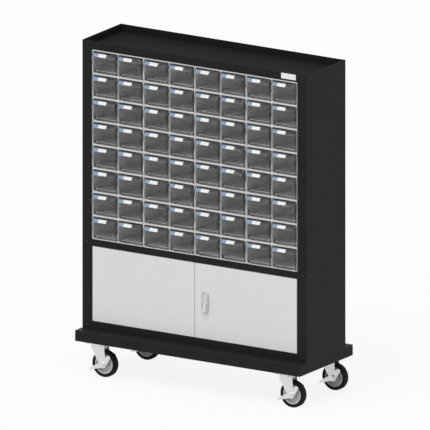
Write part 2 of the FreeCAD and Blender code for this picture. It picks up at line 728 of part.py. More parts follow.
def lock_barrel():
    """The key barrel and, on its inner end, a cam that hangs down when unlocked."""
    head_start = DISH_FLOOR - FACE_GAP / 3
    inner_end = DOOR_BACK + FACE_GAP + CAM_SHEET
    barrel = fuse([
        rod(LOCK_RADIUS, point(HANDLE_X, head_start, LOCK_Z), point(HANDLE_X, inner_end - CAM_SHEET, LOCK_Z)),
        rod(LOCK_HEAD_RADIUS, point(HANDLE_X, head_start - LOCK_HEAD_HEIGHT, LOCK_Z),
            point(HANDLE_X, head_start, LOCK_Z)),
    ])
    keyway_front = head_start - LOCK_HEAD_HEIGHT
    keyway = box(HANDLE_X - KEYWAY_WIDTH / 2, HANDLE_X + KEYWAY_WIDTH / 2, keyway_front,
                 keyway_front + KEYWAY_DEPTH, LOCK_Z - KEYWAY_LENGTH / 2, LOCK_Z + KEYWAY_LENGTH / 2)
    cam_length = HANDLE_X + CAM_OVERLAP
    outline = link_outline(HANDLE_X, LOCK_Z, LOCK_RADIUS, HANDLE_X, LOCK_Z - cam_length, CAM_WIDTH / 2)
    cam = placed(outline, 0, inner_end - CAM_SHEET, 0).extrude(point(0, CAM_SHEET, 0))
    return group([barrel.cut(keyway), cam])


def blank_plate():
    """The plain plate on the right of the top band."""
    right = OPENING_HALF - PLATE_INSET
    top = CABINET_TOP - PLATE_DROP
    return box(right - PLATE_WIDTH, right, RAIL_FRONT - PLATE_THICKNESS, RAIL_FRONT, top - PLATE_HEIGHT, top)


def caster_plate():
    """A caster's top plate and raceway, bored for the kingpin, with its swivel axis at the origin."""
    half_length = CASTER_PLATE_LENGTH / 2
    half_width = CASTER_PLATE_WIDTH / 2
    plate = box(-half_length, half_length, -half_width, half_width, CASTER_PLATE_BOTTOM, BASE_BOTTOM)
    raceway = rod(RACEWAY_RADIUS, point(0, 0, RACEWAY_BOTTOM), point(0, 0, CASTER_PLATE_BOTTOM))
    bore = rod(KINGPIN_RADIUS + RUNNING_FIT, point(0, 0, RACEWAY_BOTTOM), point(0, 0, BASE_BOTTOM))
    seat = rod(KINGPIN_HEAD_RADIUS + FACE_GAP, point(0, 0, BASE_BOTTOM - KINGPIN_HEAD_HEIGHT - 2 * FACE_GAP),
               point(0, 0, BASE_BOTTOM))
    return fuse([plate, raceway]).cut(bore).cut(seat)


def caster_plates():
    """The four top plates with their bolt holes."""
    shape = caster_plate()
    holes = caster_bolt_holes()
    return group([placed(shape, x, y, 0).cut(holes) for x, y in caster_places().values()])


def caster_bolts():
    """Sixteen hexagon bolts from below, each with its nut above the channel."""
    shank_end = BASE_BOTTOM + CHANNEL_SHEET + 2 * BOLT_HEAD_HEIGHT
    nut_bottom = BASE_BOTTOM + CHANNEL_SHEET
    solids = []
    for x, y in caster_bolt_places():
        head = hexagon(BOLT_HEAD_ACROSS, point(x, y, CASTER_PLATE_BOTTOM - BOLT_HEAD_HEIGHT),
                       point(0, 0, BOLT_HEAD_HEIGHT), X_AXIS)
        shank = rod(BOLT_RADIUS, point(x, y, CASTER_PLATE_BOTTOM), point(x, y, shank_end))
        nut = hexagon(BOLT_HEAD_ACROSS, point(x, y, nut_bottom), point(0, 0, BOLT_HEAD_HEIGHT), X_AXIS)
        thread = rod(BOLT_RADIUS + RUNNING_FIT, point(x, y, nut_bottom), point(x, y, shank_end))
        solids.append(head.fuse(shank))
        solids.append(nut.cut(thread))
    return group(solids)


def tangent_point(x, z, radius, from_x, from_z, side):
    """Where a line from outside touches a circle in the XZ plane, on its right (1) or left (-1)."""
    away = math.hypot(from_x - x, from_z - z)
    angle = math.atan2(from_z - z, from_x - x) - side * math.acos(radius / away)
    return point(x + radius * math.cos(angle), 0, z + radius * math.sin(angle))


def fork_leg_face():
    """A fork leg's outline: as long as the crown above, and round about the axle below."""
    skirt = CROWN_TOP - CROWN_SKIRT
    front_top = point(-CROWN_FRONT, 0, CROWN_TOP)
    back_top = point(CROWN_BACK, 0, CROWN_TOP)
    front_skirt = point(-CROWN_FRONT, 0, skirt)
    back_skirt = point(CROWN_BACK, 0, skirt)
    front_touch = tangent_point(CASTER_TRAIL, AXLE_Z, FORK_END_RADIUS, -CROWN_FRONT, skirt, -1)
    back_touch = tangent_point(CASTER_TRAIL, AXLE_Z, FORK_END_RADIUS, CROWN_BACK, skirt, 1)
    foot = point(CASTER_TRAIL, 0, AXLE_Z - FORK_END_RADIUS)
    edges = [
        Part.LineSegment(front_touch, front_skirt).toShape(),
        Part.LineSegment(front_skirt, front_top).toShape(),
        Part.LineSegment(front_top, back_top).toShape(),
        Part.LineSegment(back_top, back_skirt).toShape(),
        Part.LineSegment(back_skirt, back_touch).toShape(),
        Part.Arc(back_touch, foot, front_touch).toShape(),
    ]
    return Part.Face(Part.Wire(edges))


def axle_rod(radius, half_length):
    """A bar along the axle, centred on the wheel."""
    return rod(radius, point(CASTER_TRAIL, -half_length, AXLE_Z), point(CASTER_TRAIL, half_length, AXLE_Z))


def fork():
    """The swivel fork with its kingpin, and the axle bolt and nut as separate solids."""
    leg = fork_leg_face().extrude(point(0, FORK_SHEET, 0))
    crown = box(-CROWN_FRONT, CROWN_BACK, -LEG_OUTER, LEG_OUTER, CROWN_TOP - FORK_SHEET, CROWN_TOP)
    head_bottom = BASE_BOTTOM - KINGPIN_HEAD_HEIGHT - FACE_GAP
    kingpin = rod(KINGPIN_RADIUS, point(0, 0, CROWN_TOP), point(0, 0, head_bottom))
    kingpin_head = rod(KINGPIN_HEAD_RADIUS, point(0, 0, head_bottom), point(0, 0, BASE_BOTTOM - FACE_GAP))
    frame = fuse([crown, placed(leg, 0, LEG_INNER, 0), placed(leg, 0, -LEG_OUTER, 0), kingpin, kingpin_head])
    frame = frame.cut(axle_rod(AXLE_RADIUS + RUNNING_FIT, LEG_OUTER))
    head = hexagon(AXLE_HEAD_ACROSS, point(CASTER_TRAIL, -AXLE_HEAD_START - AXLE_HEAD_HEIGHT, AXLE_Z),
                   point(0, AXLE_HEAD_HEIGHT, 0), Z_AXIS)
    nut = hexagon(AXLE_HEAD_ACROSS, point(CASTER_TRAIL, AXLE_HEAD_START, AXLE_Z),
                  point(0, AXLE_HEAD_HEIGHT, 0), Z_AXIS)
    axle_end = AXLE_HEAD_START + AXLE_HEAD_HEIGHT
    bolt = head.fuse(rod(AXLE_RADIUS, point(CASTER_TRAIL, -AXLE_HEAD_START, AXLE_Z),
                         point(CASTER_TRAIL, axle_end, AXLE_Z)))
    return group([frame, bolt, nut.cut(axle_rod(AXLE_RADIUS + RUNNING_FIT, axle_end))])


def wheel_hub():
    """The hub: a boss on the axle, a thin web and a rim under the tyre."""
    boss_half = LEG_INNER - HUB_SIDE_GAP
    web_half = HUB_WEB_THICKNESS / 2
    rim_half = HUB_RIM_WIDTH / 2
    rim_inner = HUB_RADIUS - HUB_RIM_THICKNESS
    half_profile = [
        (AXLE_RADIUS + RUNNING_FIT, boss_half),
        (HUB_BOSS_RADIUS, boss_half),
        (HUB_BOSS_RADIUS, web_half),
        (rim_inner, web_half),
        (rim_inner, rim_half),
        (HUB_RADIUS, rim_half),
    ]
    profile = half_profile + [(radius, -y) for radius, y in reversed(half_profile)]
    corners = [point(CASTER_TRAIL + radius, y, AXLE_Z) for radius, y in profile]
    face = Part.Face(Part.makePolygon(corners + corners[:1]))
    return face.revolve(point(CASTER_TRAIL, 0, AXLE_Z), Y_AXIS, 360)


def tyre():
    """The rubber tyre with rounded shoulders."""
    half = WHEEL_WIDTH / 2
    outside = axle_rod(WHEEL_DIAMETER / 2, half)
    shoulders = [edge for edge in outside.Edges if edge.BoundBox.YLength < 0.01]
    return outside.makeFillet(TYRE_SHOULDER, shoulders).cut(axle_rod(HUB_RADIUS + RUNNING_FIT, half))


def brake_pedal():
    """The brake yoke: a plate on each side of the fork, joined by the tread ahead of the wheel."""
    lobe = link_outline(0, 0, BRAKE_DISC_RADIUS, BRAKE_LOBE_X, BRAKE_LOBE_Z, BRAKE_LOBE_RADIUS)
    arm = link_outline(0, 0, BRAKE_ARM_ROOT_RADIUS, BRAKE_ARM_X, BRAKE_ARM_Z, BRAKE_ARM_RADIUS)
    sweep = point(0, BRAKE_SHEET, 0)
    plate = fuse([lobe.extrude(sweep), arm.extrude(sweep)])
    plates = [placed(plate, CASTER_TRAIL, y, AXLE_Z) for y in (-BRAKE_OUTER, BRAKE_INNER)]
    tread_x = CASTER_TRAIL + BRAKE_ARM_X
    tread_z = AXLE_Z + BRAKE_ARM_Z
    tread = box(tread_x - TREAD_LENGTH / 2, tread_x + TREAD_LENGTH / 2, -BRAKE_OUTER, BRAKE_OUTER,
                tread_z - BRAKE_SHEET / 2, tread_z + BRAKE_SHEET / 2)
    return fuse(plates + [tread]).cut(axle_rod(AXLE_RADIUS + RUNNING_FIT, BRAKE_OUTER))


def casters():
    """The moving pieces of the four casters, all trailing to the right."""
    shapes = {"fork": fork(), "hub": wheel_hub(), "tyre": tyre(), "brake_pedal": brake_pedal()}
    nodes = {}
    for corner, (x, y) in caster_places().items():
        for piece, shape in shapes.items():
            nodes["caster_%s_%s" % (corner, piece)] = placed(shape, x, y, 0)
    return nodes


def all_nodes():
    """Every node of the cabinet by name."""
    right_side = side_panel()
    plain_door = door()
    nodes = {
        "side_panel_right": right_side,
        "side_panel_left": mirrored(right_side),
        "back_panel": back_panel(),
        "top_tray": top_tray(),
        "middle_shelf": middle_shelf(),
        "cupboard_floor": cupboard_floor(),
        "base_pan": base_pan(),
        "caster_channels": caster_channels(),
        "stack_guides": stack_guides(),
        "carcass_screws": group([carcass_screw(seat, drive) for seat, drive in screw_places()]),
        "blank_plate": blank_plate(),
        "drawer_housings": drawer_housings(),
        "door_right": plain_door.cut(lock_bore()),
        "door_left": mirrored(plain_door),
        "door_pivot_pins": pivot_pins(),
        "door_catches": door_catches(),
        "handle_housing": handle_housing(),
        "handle_lever": handle_lever(),
        "lock_barrel": lock_barrel(),
        "caster_plates": caster_plates(),
        "caster_bolts": caster_bolts(),
    }
    nodes.update(drawers())
    nodes.update(casters())
    return nodes


os.makedirs("parts", exist_ok=True)
for name, shape in all_nodes().items():
    shape.exportStep("parts/%s.step" % name)
    print(name, len(shape.Solids), round(shape.Volume))
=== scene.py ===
import logging
import math
from dataclasses import dataclass, field
from enum import Enum, IntEnum
from typing import Any, Callable, Iterable, Sequence

import bmesh
import bpy
from bmesh.types import BMesh
from bpy.types import Mesh, NodeTree, Object
from mathutils import Color, Matrix, Vector


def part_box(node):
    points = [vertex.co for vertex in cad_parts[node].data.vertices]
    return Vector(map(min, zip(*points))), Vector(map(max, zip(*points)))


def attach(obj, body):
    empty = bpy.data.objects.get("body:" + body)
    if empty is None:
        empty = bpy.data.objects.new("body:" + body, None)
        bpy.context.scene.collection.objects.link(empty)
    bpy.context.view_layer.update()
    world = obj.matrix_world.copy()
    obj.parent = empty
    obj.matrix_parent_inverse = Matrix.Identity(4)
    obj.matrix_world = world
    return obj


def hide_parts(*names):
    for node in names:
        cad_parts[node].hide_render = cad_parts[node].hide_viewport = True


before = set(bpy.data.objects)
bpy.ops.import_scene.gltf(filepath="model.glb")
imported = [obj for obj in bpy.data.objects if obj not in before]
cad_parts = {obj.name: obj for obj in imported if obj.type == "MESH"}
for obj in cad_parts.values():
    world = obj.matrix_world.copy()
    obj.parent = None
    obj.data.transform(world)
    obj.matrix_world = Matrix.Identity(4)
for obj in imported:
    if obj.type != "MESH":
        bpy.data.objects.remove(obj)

LOG = logging.getLogger("drawer_cabinet")
MM = 0.001
SHARP_ANGLE = math.radians(35)
WELD_MM = 0.002
NEIGHBOUR_SLOT = -1
INWARDS = -1.0
BOX_DIGITS = 3
WHITE = "#ffffff"
CORNERS = ("front_left", "front_right", "rear_left", "rear_right")
Plan = list[tuple[float, float]]


def linear(hex_colour: str) -> tuple[float, float, float, float]:
    """Turn an sRGB hex colour to the linear one of shaders.

    Args:
        hex_colour: six hex digits after a number sign.

    Returns:
        Red, green, blue and an alpha of 1.
    """
    colour = Color(value / 255 for value in bytes.fromhex(hex_colour[1:])).from_srgb_to_scene_linear()
    return colour.r, colour.g, colour.b, 1.0


def add_node(tree: NodeTree, kind: str, settings: dict[str | int, Any],
             links: dict[str | int, Any]) -> bpy.types.Node:
    """Add one shader node.

    Args:
        tree: the node tree it goes in.
        kind: Blender's name for the node, after ShaderNode.
        settings: values by property name, or by the name or number of an input.
        links: the output socket that feeds each input, by name or number.

    Returns:
        The new node.
    """
    node = tree.nodes.new(f"ShaderNode{kind}")
    for name, value in settings.items():
        if isinstance(name, str) and hasattr(node, name):
            setattr(node, name, value)
        else:
            node.inputs[name].default_value = value
    for name, source in links.items():
        tree.links.new(source, node.inputs[name])
    return node


class Grain(Enum):
    """What the surface's fine pattern is made of."""

    PEEL = "the ripple that baked powder flows out to"
    SPARK = "the even texture that a spark-eroded mould leaves"
    SPANGLE = "the crystals of a zinc plating"
    FIBRE = "the felted fibres of card"
    FLOW = "the streaks along which melted plastic ran"


# Fibres and streaks are drawn out along the height, by scaling their pattern down there.
GRAIN_STRETCH = {Grain.FIBRE: 0.4, Grain.FLOW: 0.15}
FIBRE_DETAIL = 4.0
PLAIN_DETAIL = 2.0
DETAIL_ROUGHNESS = 0.55
# Noise keeps to the middle of 0 to 1, so these spans of it are spread out.
CLOUD_SPAN = (0.3, 0.7)
CLOUD_DETAIL = 3.0
GRAIN_SPAN = (0.25, 0.75)
GRAIN_SHARE = 0.35
BUMP_STRENGTH = 0.6


@dataclass(frozen=True)
class Finish:
    """One finish: a material and how its surface was made."""

    name: str
    colour: str
    shade: str
    grain: Grain
    grain_mm: float
    bump_mm: float
    roughness: float
    roughness_spread: float = 0.06
    cloud_mm: float = 220.0
    cloud: float = 0.25
    metallic: float = 0.0
    ior: float = 1.5
    specular: float = 0.5
    transmission: float = 0.0

    def pattern(self, tree: NodeTree, place: Any) -> Any:
        """Add the nodes of the fine pattern.

        Args:
            tree: the material's nodes.
            place: the socket of the point on the object, in metres.

        Returns:
            A socket from 0 to 1.
        """
        scale = 1.0 / (self.grain_mm * MM)
        if self.grain is Grain.SPANGLE:
            cells = add_node(tree, "TexVoronoi", {"Scale": scale}, {"Vector": place})
            return add_node(tree, "SeparateColor", {}, {0: cells.outputs["Color"]}).outputs[0]
        if self.grain in GRAIN_STRETCH:
            stretch = (1.0, 1.0, GRAIN_STRETCH[self.grain])
            place = add_node(tree, "Mapping", {"Scale": stretch}, {"Vector": place}).outputs[0]
        detail = FIBRE_DETAIL if self.grain is Grain.FIBRE else PLAIN_DETAIL
        settings = {"Scale": scale, "Detail": detail, "Roughness": DETAIL_ROUGHNESS}
        return add_node(tree, "TexNoise", settings, {"Vector": place}).outputs[0]

    def material(self) -> bpy.types.Material:
        """Make the material, or give the one already made.

        Returns:
            The material with its nodes.
        """
        made = bpy.data.materials.get(self.name)
        if made:
            return made
        made = bpy.data.materials.new(self.name)
        made.use_nodes = True
        tree = made.node_tree
        tree.nodes.clear()
        place = add_node(tree, "TexCoord", {}, {}).outputs["Object"]
        grain = self.pattern(tree, place)
        settings = {"Scale": 1.0 / (self.cloud_mm * MM), "Detail": CLOUD_DETAIL}
        clouds = add_node(tree, "TexNoise", settings, {"Vector": place}).outputs[0]
        settings = {"From Min": CLOUD_SPAN[0], "From Max": CLOUD_SPAN[1], "To Max": self.cloud}
        spread = add_node(tree, "MapRange", settings, {"Value": clouds}).outputs[0]
        settings = {"operation": "MULTIPLY_ADD", 1: GRAIN_SHARE * self.cloud}
        mottle = add_node(tree, "Math", settings, {0: grain, 2: spread}).outputs[0]
        settings = {"data_type": "RGBA", 6: linear(self.colour), 7: linear(self.shade)}
        colour = add_node(tree, "Mix", settings, {"Factor": mottle})
        low, high = self.roughness - self.roughness_spread, self.roughness + self.roughness_spread
        settings = {"From Min": GRAIN_SPAN[0], "From Max": GRAIN_SPAN[1], "To Min": low, "To Max": high}
        rough = add_node(tree, "MapRange", settings, {"Value": grain}).outputs[0]
        settings = {"Strength": BUMP_STRENGTH, "Distance": self.bump_mm * MM}
        bump = add_node(tree, "Bump", settings, {"Height": grain})
        settings = {"Metallic": self.metallic, "IOR": self.ior, "Specular IOR Level": self.specular,
                    "Transmission Weight": self.transmission}
        sources = {"Base Color": colour.outputs[2], "Roughness": rough, "Normal": bump.outputs[0]}
        shader = add_node(tree, "BsdfPrincipled", settings, sources)
        if self.transmission:
            # A thin clear wall hardly dims the lamps behind it, so their rays pass straight on.
            shadow = add_node(tree, "LightPath", {}, {}).outputs["Is Shadow Ray"]
            through = add_node(tree, "BsdfTransparent", {"Color": linear(self.colour)}, {})
            sources = {0: shadow, 1: shader.outputs[0], 2: through.outputs[0]}
            shader = add_node(tree, "MixShader", {}, sources)
        add_node(tree, "OutputMaterial", {}, {"Surface": shader.outputs[0]})
        return made


# Polyester powder baked on steel: a satin black with a faint orange peel. The ripple is really about 1 mm
# across, and is drawn at 7 mm so that it shows.
BLACK_COAT = Finish("polyester_powder_black", "#212122", "#1d1d1e", Grain.PEEL, 7.0, 0.05, 0.5, specular=0.07)
# The same coat on rounded edges, a touch lighter and smoother: thin coat over a fold, and a painted
# highlight.
BLACK_EDGE_HIGHLIGHT = Finish("polyester_powder_black_edge_highlight", "#343435", "#2c2c2d", Grain.PEEL, 7.0, 0.03, 0.5,
                    specular=0.06)
# The same coat on the tray's floor, dulled by what is set down on it.
BLACK_WORN = Finish("polyester_powder_black_worn", "#212122", "#1d1d1e", Grain.PEEL, 7.0, 0.05, 0.7,
                    specular=0.02)
# Black zinc on the screws: darker steel under a thin oily film.
BLACK_SCREW = Finish("black_zinc", "#2b2b2c", "#1d1d1e", Grain.SPANGLE, 2.0, 0.02, 0.42, metallic=0.4)
# Pale polyester powder on the doors: satin, with a faint orange peel, drawn at 7 mm so that it shows.
PALE_COAT = Finish("polyester_powder_pale", "#d6d6d6", "#d0d0d0", Grain.PEEL, 7.0, 0.04, 0.45, specular=0.3)
# High-impact polystyrene, moulded: light grey with a fine matt texture, drawn at 3 mm so that it shows.
HOUSING = Finish("moulded_polystyrene", "#d0d0cf", "#c5c5c4", Grain.SPARK, 3.0, 0.04, 0.5, specular=0.35)
# The same plastic painted a darker grey in the depth of the cells and on the runners: painted shade, where
# light hardly reaches.
HOUSING_PAINTED_SHADE = Finish("moulded_polystyrene_painted_shade", "#7c7c7c", "#707070", Grain.SPARK, 3.0, 0.04, 0.6,
                      specular=0.2)
# Styrene acrylonitrile, moulded: clear and glossy, a little streaked along its flow.
CLEAR = Finish("clear_styrene", "#f7f7f7", "#f0f0f0", Grain.FLOW, 9.0, 0.02, 0.06, 0.03,
               ior=1.3, transmission=0.97)
# The same on the drawers' floors, scuffed to a light haze by loose parts.
CLEAR_FLOOR = Finish("clear_styrene_scuffed", "#f1f1f1", "#e8e8e8", Grain.FLOW, 9.0, 0.02, 0.08, 0.03,
                     ior=1.3, transmission=0.895)
# The same on the band that fingers pull, rubbed to a fainter haze.
CLEAR_PULL = Finish("clear_styrene_rubbed", "#f3f3f3", "#eaeaea", Grain.FLOW, 9.0, 0.02, 0.08, 0.03,
                    ior=1.3, transmission=0.965)
# The same in the window below the pull: polished, and the clearest of all.
CLEAR_WINDOW = Finish("clear_styrene_polished", "#f9f9f9", "#f4f4f4", Grain.FLOW, 9.0, 0.01, 0.03, 0.02,
                      ior=1.3, transmission=1.0)
# The same in the thick round of a drawer's heel, made milky: a painted highlight for the light that the thick
# round gathers.
CLEAR_HEEL = Finish("clear_styrene_thick", "#f3f3f3", "#eaeaea", Grain.FLOW, 9.0, 0.02, 0.1, 0.03,
                    ior=1.3, transmission=0.5)
# The same on the slope that carries the card: thin and polished, so that the dark behind it shows.
CLEAR_SLOPE = Finish("clear_styrene_thin", "#f9f9f9", "#f4f4f4", Grain.FLOW, 9.0, 0.01, 0.03, 0.02,
                     ior=1.2, transmission=0.99)
# The same on the drawers' sides, dulled where they rub along the housing.
CLEAR_SIDE = Finish("clear_styrene_dulled", "#f3f3f3", "#eaeaea", Grain.FLOW, 9.0, 0.02, 0.06, 0.03,
                    ior=1.3, transmission=0.92)
# The frosted strip beside the card, where a pencil can write.
CLEAR_STRIP = Finish("clear_styrene_frosted", "#f3f3f3", "#eaeaea", Grain.SPARK, 2.0, 0.02, 0.12, 0.03,
                     ior=1.2, transmission=0.965)
# Printed card: white with the felt of its fibres, drawn at 2 mm so that it shows.
CARD_WHITE = Finish("label_card_white", "#dededc", "#d5d5d2", Grain.FIBRE, 2.0, 0.03, 0.65, cloud_mm=30.0)
# The card's printed end: a flat soft blue ink on the same fibres.
CARD_BLUE = Finish("label_card_blue", "#7a8fae", "#7188a7", Grain.FIBRE, 2.0, 0.03, 0.6, cloud_mm=30.0)
# Bright zinc on pressed steel: pale, softly mirror-like, with a crystal spangle about 5 mm across.
ZINC = Finish("bright_zinc", "#dcdddd", "#c9cbcc", Grain.SPANGLE, 5.0, 0.02, 0.4, 0.08, cloud_mm=60.0,
              metallic=1.0)
# Polyamide, moulded: a mid grey hub with a dull gloss.
HUB = Finish("moulded_polyamide", "#b4b5b6", "#a4a5a6", Grain.SPARK, 2.0, 0.03, 0.45, cloud_mm=50.0)
# Vulcanised rubber: near black, matt, with a dry bloom in patches.
RUBBER = Finish("vulcanised_rubber", "#131314", "#1a1a1b", Grain.SPARK, 2.5, 0.06, 0.75, cloud_mm=40.0,
                specular=0.15)
# ABS, moulded and matched to the doors, with a fine texture drawn at 2 mm so that it shows.
HANDLE = Finish("moulded_abs", "#cccccc", "#c2c2c2", Grain.SPARK, 2.0, 0.03, 0.4, cloud_mm=50.0)
# Chrome on the lock barrel, bead-blasted before plating: a pale satin.
CHROME = Finish("satin_chrome", "#dcdcdb", "#cfcfce", Grain.FLOW, 1.0, 0.005, 0.35, 0.05, cloud_mm=20.0,
                metallic=1.0)
# Black ABS on the magnetic catches, moulded.
CATCH = Finish("moulded_abs_black", "#242425", "#1b1b1c", Grain.SPARK, 2.0, 0.03, 0.5, cloud_mm=50.0)
# Aluminium sheet painted white: an even, faintly brushed plate.
PLATE = Finish("painted_plate", "#e8e8e6", "#dededc", Grain.FLOW, 2.0, 0.01, 0.4, cloud_mm=40.0)


def arc(centre: tuple[float, float], reach: tuple[float, float], start: float, end: float,
        steps: int) -> Plan:
    """Points along an arc of a circle or an ellipse.

    Args:
        centre: its middle.
        reach: the half width and half height.
        start: the first angle, in degrees.
        end: the last angle, in degrees.
        steps: straight pieces between them.

    Returns:
        The points with both ends.
    """
    points = []
    for step in range(steps + 1):
        angle = math.radians(start + (end - start) * step / steps)
        points.append((centre[0] + reach[0] * math.cos(angle), centre[1] + reach[1] * math.sin(angle)))
    return points


def rounded_rectangle(x0: float, x1: float, z0: float, z1: float, radius: float, steps: int = 5) -> Plan:
    """The outline of a rectangle with rounded corners.

    Args:
        x0: left edge.
        x1: right edge.
        z0: lower edge.
        z1: upper edge.
        radius: of each corner.
        steps: straight pieces in each corner.

    Returns:
        Its points, anticlockwise.
    """
    centres = ((x1 - radius, z0 + radius, -90), (x1 - radius, z1 - radius, 0),
               (x0 + radius, z1 - radius, 90), (x0 + radius, z0 + radius, 180))
    points = []
    for x, z, start in centres:
        points += arc((x, z), (radius, radius), start, start + 90, steps)
    return points


def drawn_in(plan: Plan, distance: float) -> Plan:
    """An anticlockwise outline moved inwards.

    Args:
        plan: the corners.
        distance: how far each edge moves in.

    Returns:
        The corners of the smaller outline.
    """
    points = []
    for index, corner in enumerate(plan):
        here = Vector(corner)
        before = (here - Vector(plan[index - 1])).normalized().orthogonal()
        after = (Vector(plan[(index + 1) % len(plan)]) - here).normalized().orthogonal()
        moved = here + (before + after) * (distance / (1 + before.dot(after)))
        points.append((moved.x, moved.y))
    return points


def loop_of(bm: BMesh, plan: Plan, place: Callable[[float, float], Sequence[float]]) -> list[Any]:
    """Add an outline's points.

    Args:
        bm: the mesh in hand.
        plan: the outline.
        place: turns a point of the outline to one in space.

    Returns:
        The new vertices in order.
    """
    return [bm.verts.new(place(a, b)) for a, b in plan]


def bridge(bm: BMesh, first: list[Any], second: list[Any], slot: int = 0) -> list[Any]:
    """Join two closed loops of as many vertices with quads.

    Args:
        bm: the mesh in hand.
        first: one loop.
        second: the other loop.
        slot: the material slot of the quads.

    Returns:
        The quads.
    """
    faces = []
    for index in range(len(first)):
        after = (index + 1) % len(first)
        face = bm.faces.new((first[index], first[after], second[after], second[index]))
        face.material_index = slot
        faces.append(face)
    return faces


def loft(bm: BMesh, loops: Sequence[list[Any]], slot: int = 0) -> None:
    """Join closed loops one after another, and cap both ends.

    Args:
        bm: the mesh in hand.
        loops: the loops in order, of as many vertices each.
        slot: the material slot of the faces.
    """
    for first, second in zip(loops, loops[1:]):
        bridge(bm, first, second, slot)
    for end in (loops[0], loops[-1]):
        bm.faces.new(end).material_index = slot


def fill_between(bm: BMesh, loops: Iterable[list[Any]], slot: int = 0) -> None:
    """Fill a flat outline around its holes.

    Args:
        bm: the mesh in hand.
        loops: the outline and its holes, as vertex loops.
        slot: the material slot of the faces.
    """
    edges = []
    for loop in loops:
        for index, vertex in enumerate(loop):
            after = loop[(index + 1) % len(loop)]
            edges.append(bm.edges.get((vertex, after)) or bm.edges.new((vertex, after)))
    made = bmesh.ops.triangle_fill(bm, use_beauty=True, edges=edges)
    for item in made["geom"]:
        if isinstance(item, bmesh.types.BMFace):
            item.material_index = slot


def open_shell(plan: Plan, wall: float, closed: float, mouth: float) -> BMesh:
    """A pan of sheet with one open side.

    Args:
        plan: its outline, anticlockwise.
        wall: the sheet's thickness.
        closed: the level of its closed face.
        mouth: the level of its open side.

    Returns:
        The mesh.
    """
    bm = bmesh.new()
    inner = drawn_in(plan, wall)
    inside = closed + math.copysign(wall, mouth - closed)
    levels = ((plan, closed), (plan, mouth), (inner, mouth), (inner, inside))
    loft(bm, [loop_of(bm, outline, lambda x, y: (x, y, z)) for outline, z in levels])
    return bm


def turned(profile: Plan, segments: int, closed: bool) -> BMesh:
    """A shape turned about the Z axis.

    Args:
        profile: radius and height along the outline.
        segments: faces around the axis.
        closed: whether the outline's end meets its start.

    Returns:
        The mesh; an open outline is capped at both ends.
    """
    bm = bmesh.new()
    circle = arc((0, 0), (1, 1), 0, 360, segments)[:-1]
    rings = [loop_of(bm, circle, lambda x, y: (radius * x, radius * y, z)) for radius, z in profile]
    if closed:
        for index, ring in enumerate(rings):
            bridge(bm, rings[index - 1], ring)
    else:
        loft(bm, rings)
    return bm


def close_mesh(name: str, bm: BMesh, materials: Iterable[bpy.types.Material]) -> Mesh:
    """Turn a built mesh to one for an object.

    Args:
        name: the mesh's name.
        bm: the built mesh, which is freed.
        materials: the material of each slot.

    Returns:
        The mesh.
    """
    mesh = bpy.data.meshes.new(name)
    bm.to_mesh(mesh)
    bm.free()
    for material in materials:
        mesh.materials.append(material)
    return mesh


def mesh_of(name: str, bm: BMesh, finishes: Sequence[Finish]) -> Mesh:
    """Close a mesh that was built in millimetres.

    Args:
        name: the mesh's name.
        bm: the built mesh, which is freed.
        finishes: the finish of each material slot.

    Returns:
        The mesh in metres, smooth but for its sharp edges.
    """
    bmesh.ops.recalc_face_normals(bm, faces=bm.faces)
    bmesh.ops.scale(bm, vec=(MM, MM, MM), verts=bm.verts)
    mesh = close_mesh(name, bm, [finish.material() for finish in finishes])
    mesh.polygons.foreach_set("use_smooth", [True] * len(mesh.polygons))
    mesh.set_sharp_from_angle(angle=SHARP_ANGLE)
    return mesh


def stamped(name: str, pattern: Mesh, places: Iterable[Matrix]) -> Mesh:
    """One mesh of many copies of another.

    Args:
        name: the new mesh's name.
        pattern: the mesh that is copied.
        places: where each copy goes.

    Returns:
        The joined mesh, with the pattern's materials.
    """
    bm = bmesh.new()
    for place in places:
        first = len(bm.verts)
        bm.from_mesh(pattern)
        bm.verts.ensure_lookup_table()
        bmesh.ops.transform(bm, matrix=place, verts=bm.verts[first:])
    return close_mesh(name, bm, pattern.materials)


def add_piece(name: str, mesh: Mesh, body: str, nodes: Sequence[str] = (),
              at: Sequence[float] = (0, 0, 0)) -> Object:
    """Put a piece in the scene.

    Args:
        name: the piece's name.
        mesh: its mesh.
        body: the body that it moves with.
        nodes: the CAD nodes that it stands for.
        at: its mesh's origin, in metres.

    Returns:
        The new object.
    """
    piece = bpy.data.objects.new(name, mesh)
    piece.location = at
    bpy.context.scene.collection.objects.link(piece)
    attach(piece, body)
    if nodes:
        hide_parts(*nodes)
    LOG.info("built %s on %s, %d faces", name, body, len(mesh.polygons))
    return piece


def round_edges(piece: Object, width_mm: float, segments: int = 2,
                edge_slot: int = NEIGHBOUR_SLOT) -> None:
    """Round a piece's sharp edges.

    Args:
        piece: a new piece or a CAD node.
        width_mm: the rounding's reach from an edge.
        segments: faces across it.
        edge_slot: the material slot of the rounding.
    """
    rounding = piece.modifiers.new("rounded_edges", "BEVEL")
    rounding.width = width_mm * MM
    rounding.segments = segments
    rounding.limit_method = "ANGLE"
    rounding.angle_limit = SHARP_ANGLE
    rounding.harden_normals = True
    rounding.material = edge_slot


def dress_node(node: str, finish: Finish, width_mm: float, segments: int = 2,
               edge: Finish | None = None) -> None:
    """Give a CAD node its finish and rounded edges.

    Args:
        node: the node's name.
        finish: its finish.
        width_mm: the rounding of its edges.
        segments: faces across the rounding.
        edge: the finish of the rounding, where it differs.
    """
    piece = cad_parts[node]
    slots = piece.data.materials
    slots.clear()
    slots.append(finish.material())
    edge_slot = NEIGHBOUR_SLOT
    if edge:
        edge_slot = len(slots)
        slots.append(edge.material())
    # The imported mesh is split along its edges, so they are joined before they are rounded.
    joined = piece.modifiers.new("joined_edges", "WELD")
    joined.merge_threshold = WELD_MM * MM
    round_edges(piece, width_mm, segments, edge_slot)
    LOG.info("dressed %s in %s", node, finish.name)


def millimetres(node: str) -> tuple[Vector, Vector]:
    """A CAD node's lowest and highest corner in millimetres."""
    low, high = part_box(node)
    return low / MM, high / MM


